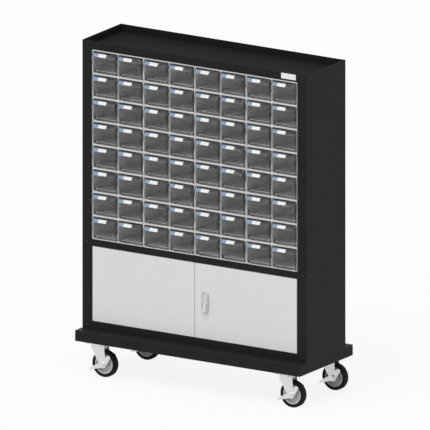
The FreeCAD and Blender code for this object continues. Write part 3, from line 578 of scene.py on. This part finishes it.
def islands(node: str) -> list[tuple[Vector, Vector]]:
    """The boxes of the separate solids in a CAD node.

    Args:
        node: the node's name.

    Returns:
        The lowest and highest corner of each solid, in millimetres.
    """
    bm = bmesh.new()
    bm.from_mesh(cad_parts[node].data)
    bmesh.ops.remove_doubles(bm, verts=bm.verts, dist=WELD_MM * MM)
    waiting = set(bm.verts)
    boxes = []
    while waiting:
        reached = [waiting.pop()]
        for vertex in reached:
            for edge in vertex.link_edges:
                other = edge.other_vert(vertex)
                if other in waiting:
                    waiting.remove(other)
                    reached.append(other)
        spread = list(zip(*(vertex.co for vertex in reached)))
        boxes.append((Vector(map(min, spread)) / MM, Vector(map(max, spread)) / MM))
    bm.free()
    # A set gives its members in no fixed order.
    return sorted(boxes, key=lambda box: tuple(round(value, BOX_DIGITS) for value in box[0]))


class SheetSlot(IntEnum):
    """The material slots of a coated sheet's mesh."""

    COAT, EDGE, WORN = range(3)


@dataclass
class Carcass:
    """The black sheet steel body with its tray, base, screws and blank plate."""

    sheet: float = 1.5
    edge: float = 0.5
    screw_radius: float = 5.0
    screw_height: float = 2.6
    screw_brim: float = 0.6
    screw_flat: float = 3.0
    screw_steps: int = 5
    screw_segments: int = 24
    shank_radius: float = 2.0
    shank_reach: float = 6.0
    recess_arm: float = 2.3
    recess_half: float = 0.55
    recess_depth: float = 1.4
    recess_taper: float = 0.6
    rear_flange: float = 26.0
    plate_edge: float = 0.4
    facing_up: float = 0.9
    plain: Sequence[str] = ("back_panel", "caster_channels", "stack_guides")

    def add_sheet(self, name: str, bm: BMesh, node: str) -> None:
        """Put a piece of coated sheet in the scene.

        Args:
            name: the piece's name.
            bm: its built mesh.
            node: the CAD node that it stands for.
        """
        mesh = mesh_of(name, bm, (BLACK_COAT, BLACK_EDGE_HIGHLIGHT, BLACK_WORN))
        # The rounding takes the lighter edge coat: partly a painted highlight where the edges catch the
        # light.
        round_edges(add_piece(name, mesh, "cabinet", [node]), self.edge, edge_slot=SheetSlot.EDGE)

    def build_pans(self) -> None:
        """Build the tray, the shelf with its lip and the cupboard's floor as folded pans."""
        pans = (("tray_pan", "top_tray"), ("shelf_pan", "middle_shelf"), ("floor_pan", "cupboard_floor"))
        for name, node in pans:
            low, high = millimetres(node)
            closed, mouth = (low.z, high.z) if node == "top_tray" else (high.z, low.z)
            plan = [(low.x, low.y), (high.x, low.y), (high.x, high.y), (low.x, high.y)]
            bm = open_shell(plan, self.sheet, closed, mouth)
            if node == "top_tray":
                bm.normal_update()
                for face in bm.faces:
                    if face.normal.z > self.facing_up and face.calc_center_median().z < mouth - self.sheet:
                        face.material_index = SheetSlot.WORN
            if node == "middle_shelf":
                lip_back = millimetres("door_catches")[1].y
                size = Vector((high.x - low.x - 2 * self.sheet, lip_back - low.y - self.sheet, self.sheet))
                middle = Vector((0, (lip_back + low.y + self.sheet) / 2, low.z + self.sheet / 2))
                place = Matrix.Translation(middle) @ Matrix.Diagonal(size).to_4x4()
                bmesh.ops.create_cube(bm, size=1.0, matrix=place)
            self.add_sheet(name, bm, node)

    def build_sides(self) -> None:
        """Build the side sheets: a web with a stile folded in at the front and a flange behind."""
        deck = millimetres("base_pan")[1].z
        for sign, side in ((-1, "left"), (1, "right")):
            node = f"side_panel_{side}"
            low, high = millimetres(node)
            stile, outer = sorted((abs(low.x), abs(high.x)))
            web, flange = outer - self.sheet, outer - self.rear_flange
            front, back = low.y + self.sheet, high.y - self.sheet
            plan = [(outer, low.y), (outer, high.y), (web, high.y), (flange, high.y), (flange, back),
                    (web, back), (web, front), (stile, front), (stile, low.y), (web, low.y)]
            bm = bmesh.new()
            top = loop_of(bm, plan, lambda x, y: (sign * x, y, high.z))
            step = loop_of(bm, plan, lambda x, y: (sign * x, y, deck))
            bridge(bm, top, step)
            bm.faces.new(top)
            # The flange, points 2 to 5, and the stile, 6 to 9, end at the deck.
            bm.faces.new(step[2:6])
            bm.faces.new(step[6:])
            tab = step[:3] + step[5:7] + step[9:]
            foot = [bm.verts.new((vertex.co.x, vertex.co.y, low.z)) for vertex in tab]
            bridge(bm, tab, foot)
            bm.faces.new(foot)
            self.add_sheet(f"side_sheet_{side}", bm, node)

    def build_base(self) -> None:
        """Build the base, which stands out in front of and behind the body."""
        low, high = millimetres("base_pan")
        body_low, body_high = millimetres("side_panel_right")
        inner = high.x - self.sheet
        right = [(high.x, low.y), (high.x, body_low.y), (inner, body_low.y),
                 (inner, body_high.y), (high.x, body_high.y), (high.x, high.y)]
        plan = right + [(-x, y) for x, y in reversed(right)]
        self.add_sheet("base_frame", open_shell(plan, self.sheet, high.z, low.z), "base_pan")

    def screw(self) -> Mesh:
        """Build a pan-head screw, driven down the Z axis from its seat at the origin.

        Returns:
            Its mesh.
        """
        profile = [(self.shank_radius, -self.shank_reach), (self.shank_radius, 0.0), (self.screw_radius, 0.0)]
        dome = (self.screw_radius - self.screw_flat, self.screw_height - self.screw_brim)
        profile += arc((self.screw_flat, self.screw_brim), dome, 0, 90, self.screw_steps)
        bm = turned(profile, self.screw_segments, False)
        cap = max(bm.faces, key=lambda face: face.calc_center_median().z)
        brim = list(cap.verts)
        bmesh.ops.delete(bm, geom=[cap], context="FACES_ONLY")
        arm, half = self.recess_arm, self.recess_half
        cross = [(arm, -half), (arm, half), (half, half), (half, arm), (-half, arm), (-half, half),
                 (-arm, half), (-arm, -half), (-half, -half), (-half, -arm), (half, -arm), (half, -half)]
        taper, depth = self.recess_taper, self.screw_height - self.recess_depth
        mouth = loop_of(bm, cross, lambda x, y: (x, y, self.screw_height))
        bottom = loop_of(bm, cross, lambda x, y: (taper * x, taper * y, depth))
        fill_between(bm, (brim, mouth))
        bridge(bm, mouth, bottom)
        bm.faces.new(bottom)
        return mesh_of("pan_head_screw", bm, (BLACK_SCREW,))

    def build_screws(self) -> None:
        """Put a screw where each CAD screw is, on the same seat."""
        body_high = millimetres("side_panel_right")[1]
        places = []
        for low, high in islands("carcass_screws"):
            middle = (low + high) / 2
            size = high - low
            axis = 0 if size.x < size.y else 1
            outward = Vector((0, 0, 0))
            outward[axis] = math.copysign(1, middle[axis])
            seat = middle.copy()
            seat[axis] = math.copysign(body_high[axis], middle[axis])
            turn = outward.to_track_quat("Z", "X").to_matrix().to_4x4()
            places.append(Matrix.Translation(seat * MM) @ turn)
        add_piece("screws", stamped("screws", self.screw(), places), "cabinet", ["carcass_screws"])

    def build(self) -> None:
        """Build and dress the carcass."""
        self.build_pans()
        self.build_sides()
        self.build_base()
        self.build_screws()
        for node in self.plain:
            dress_node(node, BLACK_COAT, self.edge, edge=BLACK_EDGE_HIGHLIGHT)
        dress_node("blank_plate", PLATE, self.plate_edge)


class HousingSlot(IntEnum):
    """The material slots of a housing's mesh."""

    # The second slot is the same plastic in a darker grey: painted shade in the depth of the cells.
    FRONT, DEEP = range(2)


class DrawerSlot(IntEnum):
    """The material slots of a drawer's mesh."""

    BACK, FLOOR, PULL, WINDOW, HEEL, SLOPE, SIDE = range(7)


class LabelSlot(IntEnum):
    """The material slots of a label's mesh."""

    BLUE, WHITE, RAIL, STRIP = range(4)


@dataclass
class DrawerStack:
    """The moulded housings, their clear drawers and the label cards."""

    columns: int = 4
    rows: int = 8
    cells: int = 2
    wall: float = 2.5
    frame_corner: float = 6.0
    cell_corner: float = 5.0
    head_bar: float = 4.8
    lip: float = 12.0
    runner_width: float = 6.0
    runner_height: float = 9.0
    runner_inset: float = 14.0
    recess: float = 6.0
    side_gap: float = 5.0
    draft: float = 7.0
    rear_gap: float = 10.0
    top_gap: float = 3.5
    side_drop: float = 18.0
    cheek_end: float = 25.0
    running_gap: float = 0.3
    rim_reach: float = 5.0
    pull_reach: float = 22.0
    slope_drop: float = 23.0
    band: float = 21.0
    drawer_wall: float = 2.0
    drawer_corner: float = 3.0
    corner_segments: int = 3
    rim_edge: float = 0.5
    housing_edge: float = 0.7
    card_inset: float = 13.0
    card_start: float = 7.8
    card_height: float = 16.2
    card_blue: float = 26.0
    card_white: float = 43.0
    card_thickness: float = 0.4
    card_corner: float = 1.5
    card_corner_steps: int = 3
    card_lift: float = 0.05
    strip_gap: float = 1.0
    strip_start: float = 13.0
    rail_width: float = 1.6
    rail_height: float = 1.1
    rail_inset: float = 9.0
    rail_lift: float = 0.02
    low: Vector = field(init=False)
    width: float = field(init=False)
    pitch: float = field(init=False)
    depth: float = field(init=False)
    cell_width: float = field(init=False)
    bottom: float = field(init=False)
    top: float = field(init=False)

    def __post_init__(self) -> None:
        """Take the stack's place from the CAD housings."""
        self.low, high = millimetres("drawer_housings")
        self.width = (high.x - self.low.x) / self.columns
        self.pitch = (high.z - self.low.z) / self.rows
        self.depth = high.y - self.low.y
        self.cell_width = (self.width - (self.cells + 1) * self.wall) / self.cells
        self.bottom = self.runner_height + self.running_gap
        self.top = self.pitch - 2 * self.wall - self.top_gap

    def add_cell(self, bm: BMesh, left: float) -> list[Any]:
        """Add one cell of a housing, with its two runners.

        Args:
            bm: the mesh in hand.
            left: where the cell starts.

        Returns:
            The loop around its mouth.
        """
        right = left + self.cell_width
        floor = self.wall
        back = self.depth - self.wall
        opening = rounded_rectangle(left, right, floor, self.pitch - self.head_bar, self.cell_corner)
        starts = (left + self.runner_inset, right - self.runner_inset - self.runner_width)
        feet = [(x, floor) for start in starts for x in (start, start + self.runner_width)]
        mouth = loop_of(bm, opening + feet, lambda x, z: (x, 0, z))
        step = loop_of(bm, opening + feet, lambda x, z: (x, self.recess, z))
        bridge(bm, mouth, step)
        section = step[:len(opening)]
        # The last four points are the feet of the two runners.
        for foot in (step[-4:-2], step[-2:]):
            head = [bm.verts.new(vertex.co + Vector((0, 0, self.runner_height))) for vertex in foot]
            bm.faces.new((*foot, *reversed(head))).material_index = HousingSlot.DEEP
            section += [foot[0], *head, foot[1]]
        lip = [bm.verts.new((vertex.co.x, self.lip, vertex.co.z)) for vertex in section]
        end = [bm.verts.new((vertex.co.x, back, vertex.co.z)) for vertex in section]
        # The runners and the cell past its pale lip take the darker grey: painted shade where light hardly
        # reaches.
        for face in bridge(bm, section, lip)[len(opening):]:
            face.material_index = HousingSlot.DEEP
        bridge(bm, lip, end, HousingSlot.DEEP)
        bm.faces.new(end).material_index = HousingSlot.DEEP
        return mouth

    def housing(self) -> Mesh:
        """Build one two-drawer housing from its lower left front corner.

        Returns:
            Its mesh.
        """
        bm = bmesh.new()
        outline = rounded_rectangle(0, self.width, 0, self.pitch, self.frame_corner)
        outer_front = loop_of(bm, outline, lambda x, z: (x, 0, z))
        outer_back = loop_of(bm, outline, lambda x, z: (x, self.depth, z))
        bridge(bm, outer_front, outer_back)
        bm.faces.new(outer_back)
        lefts = [self.wall + cell * (self.cell_width + self.wall) for cell in range(self.cells)]
        mouths = [self.add_cell(bm, left) for left in lefts]
        fill_between(bm, [outer_front, *mouths], HousingSlot.FRONT)
        return mesh_of("housing", bm, (HOUSING, HOUSING_PAINTED_SHADE))

    def profile(self) -> Plan:
        """The drawer's outline seen from its right side.

        Returns:
            Its (y, z) points, from the back of the floor round to the top of the back.
        """
        back = self.depth - self.wall - self.rear_gap
        slope_foot = self.top - self.slope_drop
        side_top = self.top - self.side_drop
        return [(back, self.bottom), (self.recess, self.bottom), (-self.pull_reach, slope_foot - self.band),
                (-self.pull_reach, slope_foot), (-self.rim_reach, self.top), (self.cheek_end, side_top),
                (back, side_top)]

    def edge_x(self, z: float) -> float:
        """The drawer's tapered side at a height, from the cell's left wall."""
        return self.side_gap + self.draft * (self.top - z) / (self.top - self.bottom)

    def drawer(self) -> Mesh:
        """Build a drawer's outer skin from its cell's lower left front corner.

        Returns:
            Its mesh, open at the top.
        """
        bm = bmesh.new()
        points = self.profile()
        left = [bm.verts.new((self.edge_x(z), y, z)) for y, z in points]
        right = [bm.verts.new((self.cell_width - self.edge_x(z), y, z)) for y, z in points]
        # Each wall spans two points of the profile.
        walls = ((0, 1, DrawerSlot.FLOOR), (1, 2, DrawerSlot.WINDOW), (2, 3, DrawerSlot.PULL),
                 (3, 4, DrawerSlot.SLOPE), (6, 0, DrawerSlot.BACK))
        for first, second, slot in walls:
            face = bm.faces.new((left[first], right[first], right[second], left[second]))
            face.material_index = slot
        for side in (left, right):
            bm.faces.new(side).material_index = DrawerSlot.SIDE
        bmesh.ops.recalc_face_normals(bm, faces=bm.faces)
        folds = [edge for edge in bm.edges if not edge.is_boundary]
        reach = self.drawer_corner
        bmesh.ops.bevel(bm, geom=folds, offset=reach, offset_type="OFFSET", segments=self.corner_segments,
                        profile=0.5, affect="EDGES", clamp_overlap=True)
        # The heel's round takes the milky finish: a painted highlight.
        for face in bm.faces:
            middle = face.calc_center_median()
            if abs(middle.y - self.recess) < reach and middle.z < self.bottom + reach:
                face.material_index = DrawerSlot.HEEL
        skins = (CLEAR, CLEAR_FLOOR, CLEAR_PULL, CLEAR_WINDOW, CLEAR_HEEL, CLEAR_SLOPE, CLEAR_SIDE)
        return mesh_of("drawer", bm, skins)

    def on_slope(self, x: float, down: float, out: float) -> Vector:
        """A point on a drawer's label slope.

        Args:
            x: the distance from the cell's left wall.
            down: the distance from the rim along the slope.
            out: the height above the slope.

        Returns:
            The point, from the cell's lower left front corner.
        """
        rim = Vector((x, -self.rim_reach, self.top))
        along = Vector((0, self.rim_reach - self.pull_reach, -self.slope_drop)).normalized()
        return rim + along * down + Vector((0, along.z, -along.y)) * out

    def add_rail(self, bm: BMesh, down: float) -> None:
        """Add a clear rail that holds the card's edge.

        Args:
            bm: the mesh in hand.
            down: its distance from the rim along the slope.
        """
        foot, crest = self.rail_width / 2, self.rail_width / 4
        low, high = self.rail_lift, self.rail_height
        section = [(-foot, low), (-crest, high), (crest, high), (foot, low)]
        ends = []
        for x in (self.rail_inset, self.cell_width - self.rail_inset):
            ends.append(loop_of(bm, section, lambda across, out: self.on_slope(x, down + across, out)))
        loft(bm, ends, LabelSlot.RAIL)

    def label(self) -> Mesh:
        """Build a label card, the frosted strip beside it and their two rails.

        Returns:
            Their mesh, from the cell's lower left front corner.
        """
        bm = bmesh.new()
        seam_x = self.card_inset + self.card_blue
        card_end = seam_x + self.card_white
        card_foot = self.card_start + self.card_height
        corner = (self.card_corner, self.card_corner_steps)
        whole = rounded_rectangle(self.card_inset, card_end, self.card_start, card_foot, *corner)
        seam = [(seam_x, card_foot), (seam_x, self.card_start)]
        white = [point for point in whole if point[0] > seam_x] + seam
        blue = seam[::-1] + [point for point in whole if point[0] < seam_x]
        strip_end = self.cell_width - self.rail_inset
        strip = rounded_rectangle(card_end + self.strip_gap, strip_end, self.strip_start, card_foot, *corner)
        for outline, slot in ((blue, LabelSlot.BLUE), (white, LabelSlot.WHITE), (strip, LabelSlot.STRIP)):
            levels = []
            for out in (self.card_lift, self.card_lift + self.card_thickness):
                levels.append(loop_of(bm, outline, lambda x, down: self.on_slope(x, down, out)))
            loft(bm, levels, slot)
        for down in (self.card_start - self.rail_width, card_foot + self.rail_width):
            self.add_rail(bm, down)
        return mesh_of("label", bm, (CARD_BLUE, CARD_WHITE, CLEAR, CLEAR_STRIP))

    def cell_places(self) -> dict[tuple[int, int], Vector]:
        """Find the cells' lower left front corners.

        Returns:
            Them in metres, by row from the bottom and column from the left.
        """
        places = {}
        for row in range(self.rows):
            for column in range(self.cells * self.columns):
                housing, cell = divmod(column, self.cells)
                x = self.low.x + housing * self.width + self.wall + cell * (self.cell_width + self.wall)
                z = self.low.z + row * self.pitch + self.wall
                places[row + 1, column + 1] = Vector((x, self.low.y, z)) * MM
        return places

    def finish_drawer(self, piece: Object) -> None:
        """Give a drawer's skin its wall, round its rim, and shade its flat faces flat.

        Args:
            piece: the drawer.
        """
        skin = piece.modifiers.new("wall", "SOLIDIFY")
        skin.thickness = self.drawer_wall * MM
        skin.offset = INWARDS
        skin.use_even_offset = True
        round_edges(piece, self.rim_edge)
        piece.modifiers.new("flat_faces", "WEIGHTED_NORMAL").keep_sharp = True

    def build(self) -> None:
        """Build and dress the housings, drawers and cards."""
        corners = []
        for row in range(self.rows):
            for column in range(self.columns):
                corner = Vector((self.low.x + column * self.width, self.low.y, self.low.z + row * self.pitch))
                corners.append(Matrix.Translation(corner * MM))
        stack = stamped("housings", self.housing(), corners)
        round_edges(add_piece("housings", stack, "cabinet", ["drawer_housings"]), self.housing_edge)
        drawer = self.drawer()
        label = self.label()
        closed = []
        for (row, column), corner in self.cell_places().items():
            name = f"drawer_row_{row}_column_{column}"
            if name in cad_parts:
                self.finish_drawer(add_piece(f"{name}_clear", drawer, name, [name], corner))
                add_piece(f"{name}_label", label, name, (), corner)
            else:
                closed.append(Matrix.Translation(corner))
        rest = stamped("closed_drawers_clear", drawer, closed)
        self.finish_drawer(add_piece("closed_drawers_clear", rest, "cabinet", ["closed_drawers"]))
        add_piece("closed_drawers_labels", stamped("closed_drawers_labels", label, closed), "cabinet")


@dataclass
class Cupboard:
    """The doors with their handle, lock, pins and catches."""

    door_edge: float = 0.8
    handle_edge: float = 1.6
    lever_edge: float = 1.0
    handle_segments: int = 3
    metal_edge: float = 0.4
    catch_edge: float = 0.8

    def build(self) -> None:
        """Dress the doors and what is on them."""
        dress_node("door_left", PALE_COAT, self.door_edge)
        dress_node("door_right", PALE_COAT, self.door_edge)
        dress_node("handle_housing", HANDLE, self.handle_edge, self.handle_segments)
        dress_node("handle_lever", HANDLE, self.lever_edge, self.handle_segments)
        dress_node("lock_barrel", CHROME, self.metal_edge)
        dress_node("door_pivot_pins", ZINC, self.metal_edge)
        dress_node("door_catches", CATCH, self.catch_edge)


@dataclass
class CasterSet:
    """The four casters: plates, bolts, forks, brake pedals and wheels."""

    tyre_radius: float = 62.5
    tyre_half: float = 16.0
    hub_radius: float = 47.5
    rim_half: float = 14.0
    rim_inner: float = 38.0
    web_half: float = 6.0
    boss_radius: float = 14.0
    boss_half: float = 18.5
    bore: float = 6.05
    boss_chamfer: float = 1.5
    boss_draft: float = 1.0
    boss_root: float = 2.5
    rim_root: float = 4.0
    rim_rise: float = 2.0
    rim_chamfer: float = 1.0
    tyre_fit: float = 0.05
    tyre_chamfer: float = 1.0
    groove_start: float = 3.0
    groove_flank: float = 0.5
    groove_floor: float = 1.0
    groove_depth: float = 0.6
    shoulder: float = 6.0
    shoulder_steps: int = 6
    segments: int = 64
    plate_edge: float = 0.5
    bolt_edge: float = 0.4
    fork_edge: float = 0.8
    pedal_edge: float = 0.6

    def hub(self) -> Mesh:
        """Build a wheel hub about the Z axis, with a bored boss and a dished web.

        Returns:
            Its mesh.
        """
        boss, foot = self.boss_radius, self.boss_radius + self.boss_draft
        rim, chamfer = self.rim_inner, self.rim_chamfer
        half = [(self.bore, self.boss_half), (boss - self.boss_chamfer, self.boss_half),
                (boss, self.boss_half - self.boss_chamfer), (foot, self.web_half + self.boss_root),
                (foot + self.boss_root, self.web_half), (rim - self.rim_root, self.web_half),
                (rim - chamfer, self.web_half + self.rim_rise), (rim, self.rim_half - chamfer),
                (rim + chamfer, self.rim_half), (self.hub_radius - chamfer, self.rim_half),
                (self.hub_radius, self.rim_half - chamfer)]
        profile = half + [(radius, -height) for radius, height in reversed(half)]
        return mesh_of("hub", turned(profile, self.segments, True), (HUB,))

    def tyre(self) -> Mesh:
        """Build a tyre about the Z axis, with round shoulders and a ring moulded in each side.

        Returns:
            Its mesh.
        """
        inner, side = self.hub_radius, self.tyre_half
        ring, floor = inner + self.groove_start, side - self.groove_depth
        floor_end = ring + self.groove_flank + self.groove_floor
        half = [(inner + self.tyre_fit, side - self.tyre_chamfer), (inner + self.tyre_chamfer, side),
                (ring, side), (ring + self.groove_flank, floor), (floor_end, floor),
                (floor_end + self.groove_flank, side)]
        centre = (self.tyre_radius - self.shoulder, side - self.shoulder)
        half += arc(centre, (self.shoulder, self.shoulder), 90, 0, self.shoulder_steps)
        profile = half + [(radius, -height) for radius, height in reversed(half)]
        return mesh_of("tyre", turned(profile, self.segments, True), (RUBBER,))

    def build(self) -> None:
        """Build and dress the casters."""
        dress_node("caster_plates", ZINC, self.plate_edge)
        dress_node("caster_bolts", ZINC, self.bolt_edge)
        hub = self.hub()
        tyre = self.tyre()
        upright = Matrix.Rotation(math.radians(90), 4, "X")
        for mesh in (hub, tyre):
            mesh.transform(upright)
        for corner in CORNERS:
            name = f"caster_{corner}"
            low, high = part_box(f"{name}_tyre")
            axle = (low + high) / 2
            add_piece(f"{name}_hub_look", hub, f"{name}_wheel", [f"{name}_hub"], axle)
            add_piece(f"{name}_tyre_look", tyre, f"{name}_wheel", [f"{name}_tyre"], axle)
            dress_node(f"{name}_fork", ZINC, self.fork_edge)
            dress_node(f"{name}_brake_pedal", ZINC, self.pedal_edge)


@dataclass
class Studio:
    """The camera at the photograph's angle, the floor and the soft light."""

    azimuth: float = 32.0
    elevation: float = 15.0
    frame_width: float = 1.9488
    centre: tuple[float, float, float] = (0.0189, -0.0212, 0.7912)
    distance: float = 8.0
    sky: float = 0.6
    sun: float = 1.95
    sun_from: tuple[float, float, float] = (0.0, -0.5, 0.87)
    sun_spread: float = 46.0
    floor_half: float = 40.0
    floor_segments: int = 8
    floor_keep: float = 0.12
    floor_hex: str = "#dedede"

    def build_camera(self) -> None:
        """Put the camera where the photograph was taken from."""
        across, up = math.radians(self.azimuth), math.radians(self.elevation)
        back = Vector((math.sin(across) * math.cos(up), -math.cos(across) * math.cos(up), math.sin(up)))
        data = bpy.data.cameras.new("camera")
        data.type = "ORTHO"
        data.ortho_scale = self.frame_width
        camera = bpy.data.objects.new("camera", data)
        camera.location = Vector(self.centre) + back * self.distance
        camera.rotation_euler = (-back).to_track_quat("-Z", "Y").to_euler()
        bpy.context.scene.collection.objects.link(camera)
        bpy.context.scene.camera = camera

    def seen_directly(self, tree: NodeTree) -> Any:
        """Tell rays of the camera, of gloss and through glass from the rest.

        Args:
            tree: the node tree.

        Returns:
            A socket that is 1 for those rays.
        """
        rays = add_node(tree, "LightPath", {}, {}).outputs
        seen = rays["Is Camera Ray"]
        for kind in ("Is Glossy Ray", "Is Transmission Ray"):
            seen = add_node(tree, "Math", {"operation": "MAXIMUM"}, {0: seen, 1: rays[kind]}).outputs[0]
        return seen

    def build_sky(self) -> None:
        """Make the even white surround that lights the object."""
        world = bpy.data.worlds.new("surround")
        bpy.context.scene.world = world
        world.use_nodes = True
        tree = world.node_tree
        tree.nodes.clear()
        lit = add_node(tree, "Background", {"Color": linear(WHITE), "Strength": self.sky}, {})
        seen = add_node(tree, "Background", {"Color": linear(WHITE), "Strength": 1.0}, {})
        sources = {0: self.seen_directly(tree), 1: lit.outputs[0], 2: seen.outputs[0]}
        both = add_node(tree, "MixShader", {}, sources)
        add_node(tree, "OutputWorld", {}, {"Surface": both.outputs[0]})

    def build_floor(self) -> None:
        """Make the white floor, which keeps a faint shadow of the object."""
        bm = bmesh.new()
        squares = self.floor_segments
        bmesh.ops.create_grid(bm, x_segments=squares, y_segments=squares, size=self.floor_half)
        made = bpy.data.materials.new("studio_floor")
        made.use_nodes = True
        tree = made.node_tree
        tree.nodes.clear()
        matt = add_node(tree, "BsdfDiffuse", {"Color": linear(self.floor_hex)}, {})
        white = add_node(tree, "Emission", {"Color": linear(WHITE), "Strength": 1.0}, {})
        share = add_node(tree, "Math", {"operation": "MULTIPLY", 1: 1.0 - self.floor_keep},
                         {0: self.seen_directly(tree)})
        sources = {0: share.outputs[0], 1: matt.outputs[0], 2: white.outputs[0]}
        both = add_node(tree, "MixShader", {}, sources)
        add_node(tree, "OutputMaterial", {}, {"Surface": both.outputs[0]})
        floor = bpy.data.objects.new("floor", close_mesh("floor", bm, [made]))
        bpy.context.scene.collection.objects.link(floor)

    def build_sun(self) -> None:
        """Hang one broad soft lamp above and in front."""
        data = bpy.data.lights.new("soft_lamp", "SUN")
        data.energy = self.sun
        data.angle = math.radians(self.sun_spread)
        lamp = bpy.data.objects.new("soft_lamp", data)
        lamp.rotation_euler = Vector(self.sun_from).to_track_quat("Z", "Y").to_euler()
        bpy.context.scene.collection.objects.link(lamp)

    def build(self) -> None:
        """Set the whole studio."""
        bpy.context.scene.view_settings.view_transform = "Standard"
        self.build_camera()
        self.build_sky()
        self.build_floor()
        self.build_sun()


def write_sizes() -> None:
    """Bring the view layer up to date.
    """
    bpy.context.view_layer.update()


def main() -> None:
    """Build every sub-assembly on the CAD frame."""
    logging.basicConfig(level=logging.INFO, format="%(name)s: %(message)s")
    bpy.context.view_layer.update()
    for part in (Studio(), Carcass(), DrawerStack(), Cupboard(), CasterSet()):
        part.build()
    write_sizes()


if __name__ == "__main__":
    main()
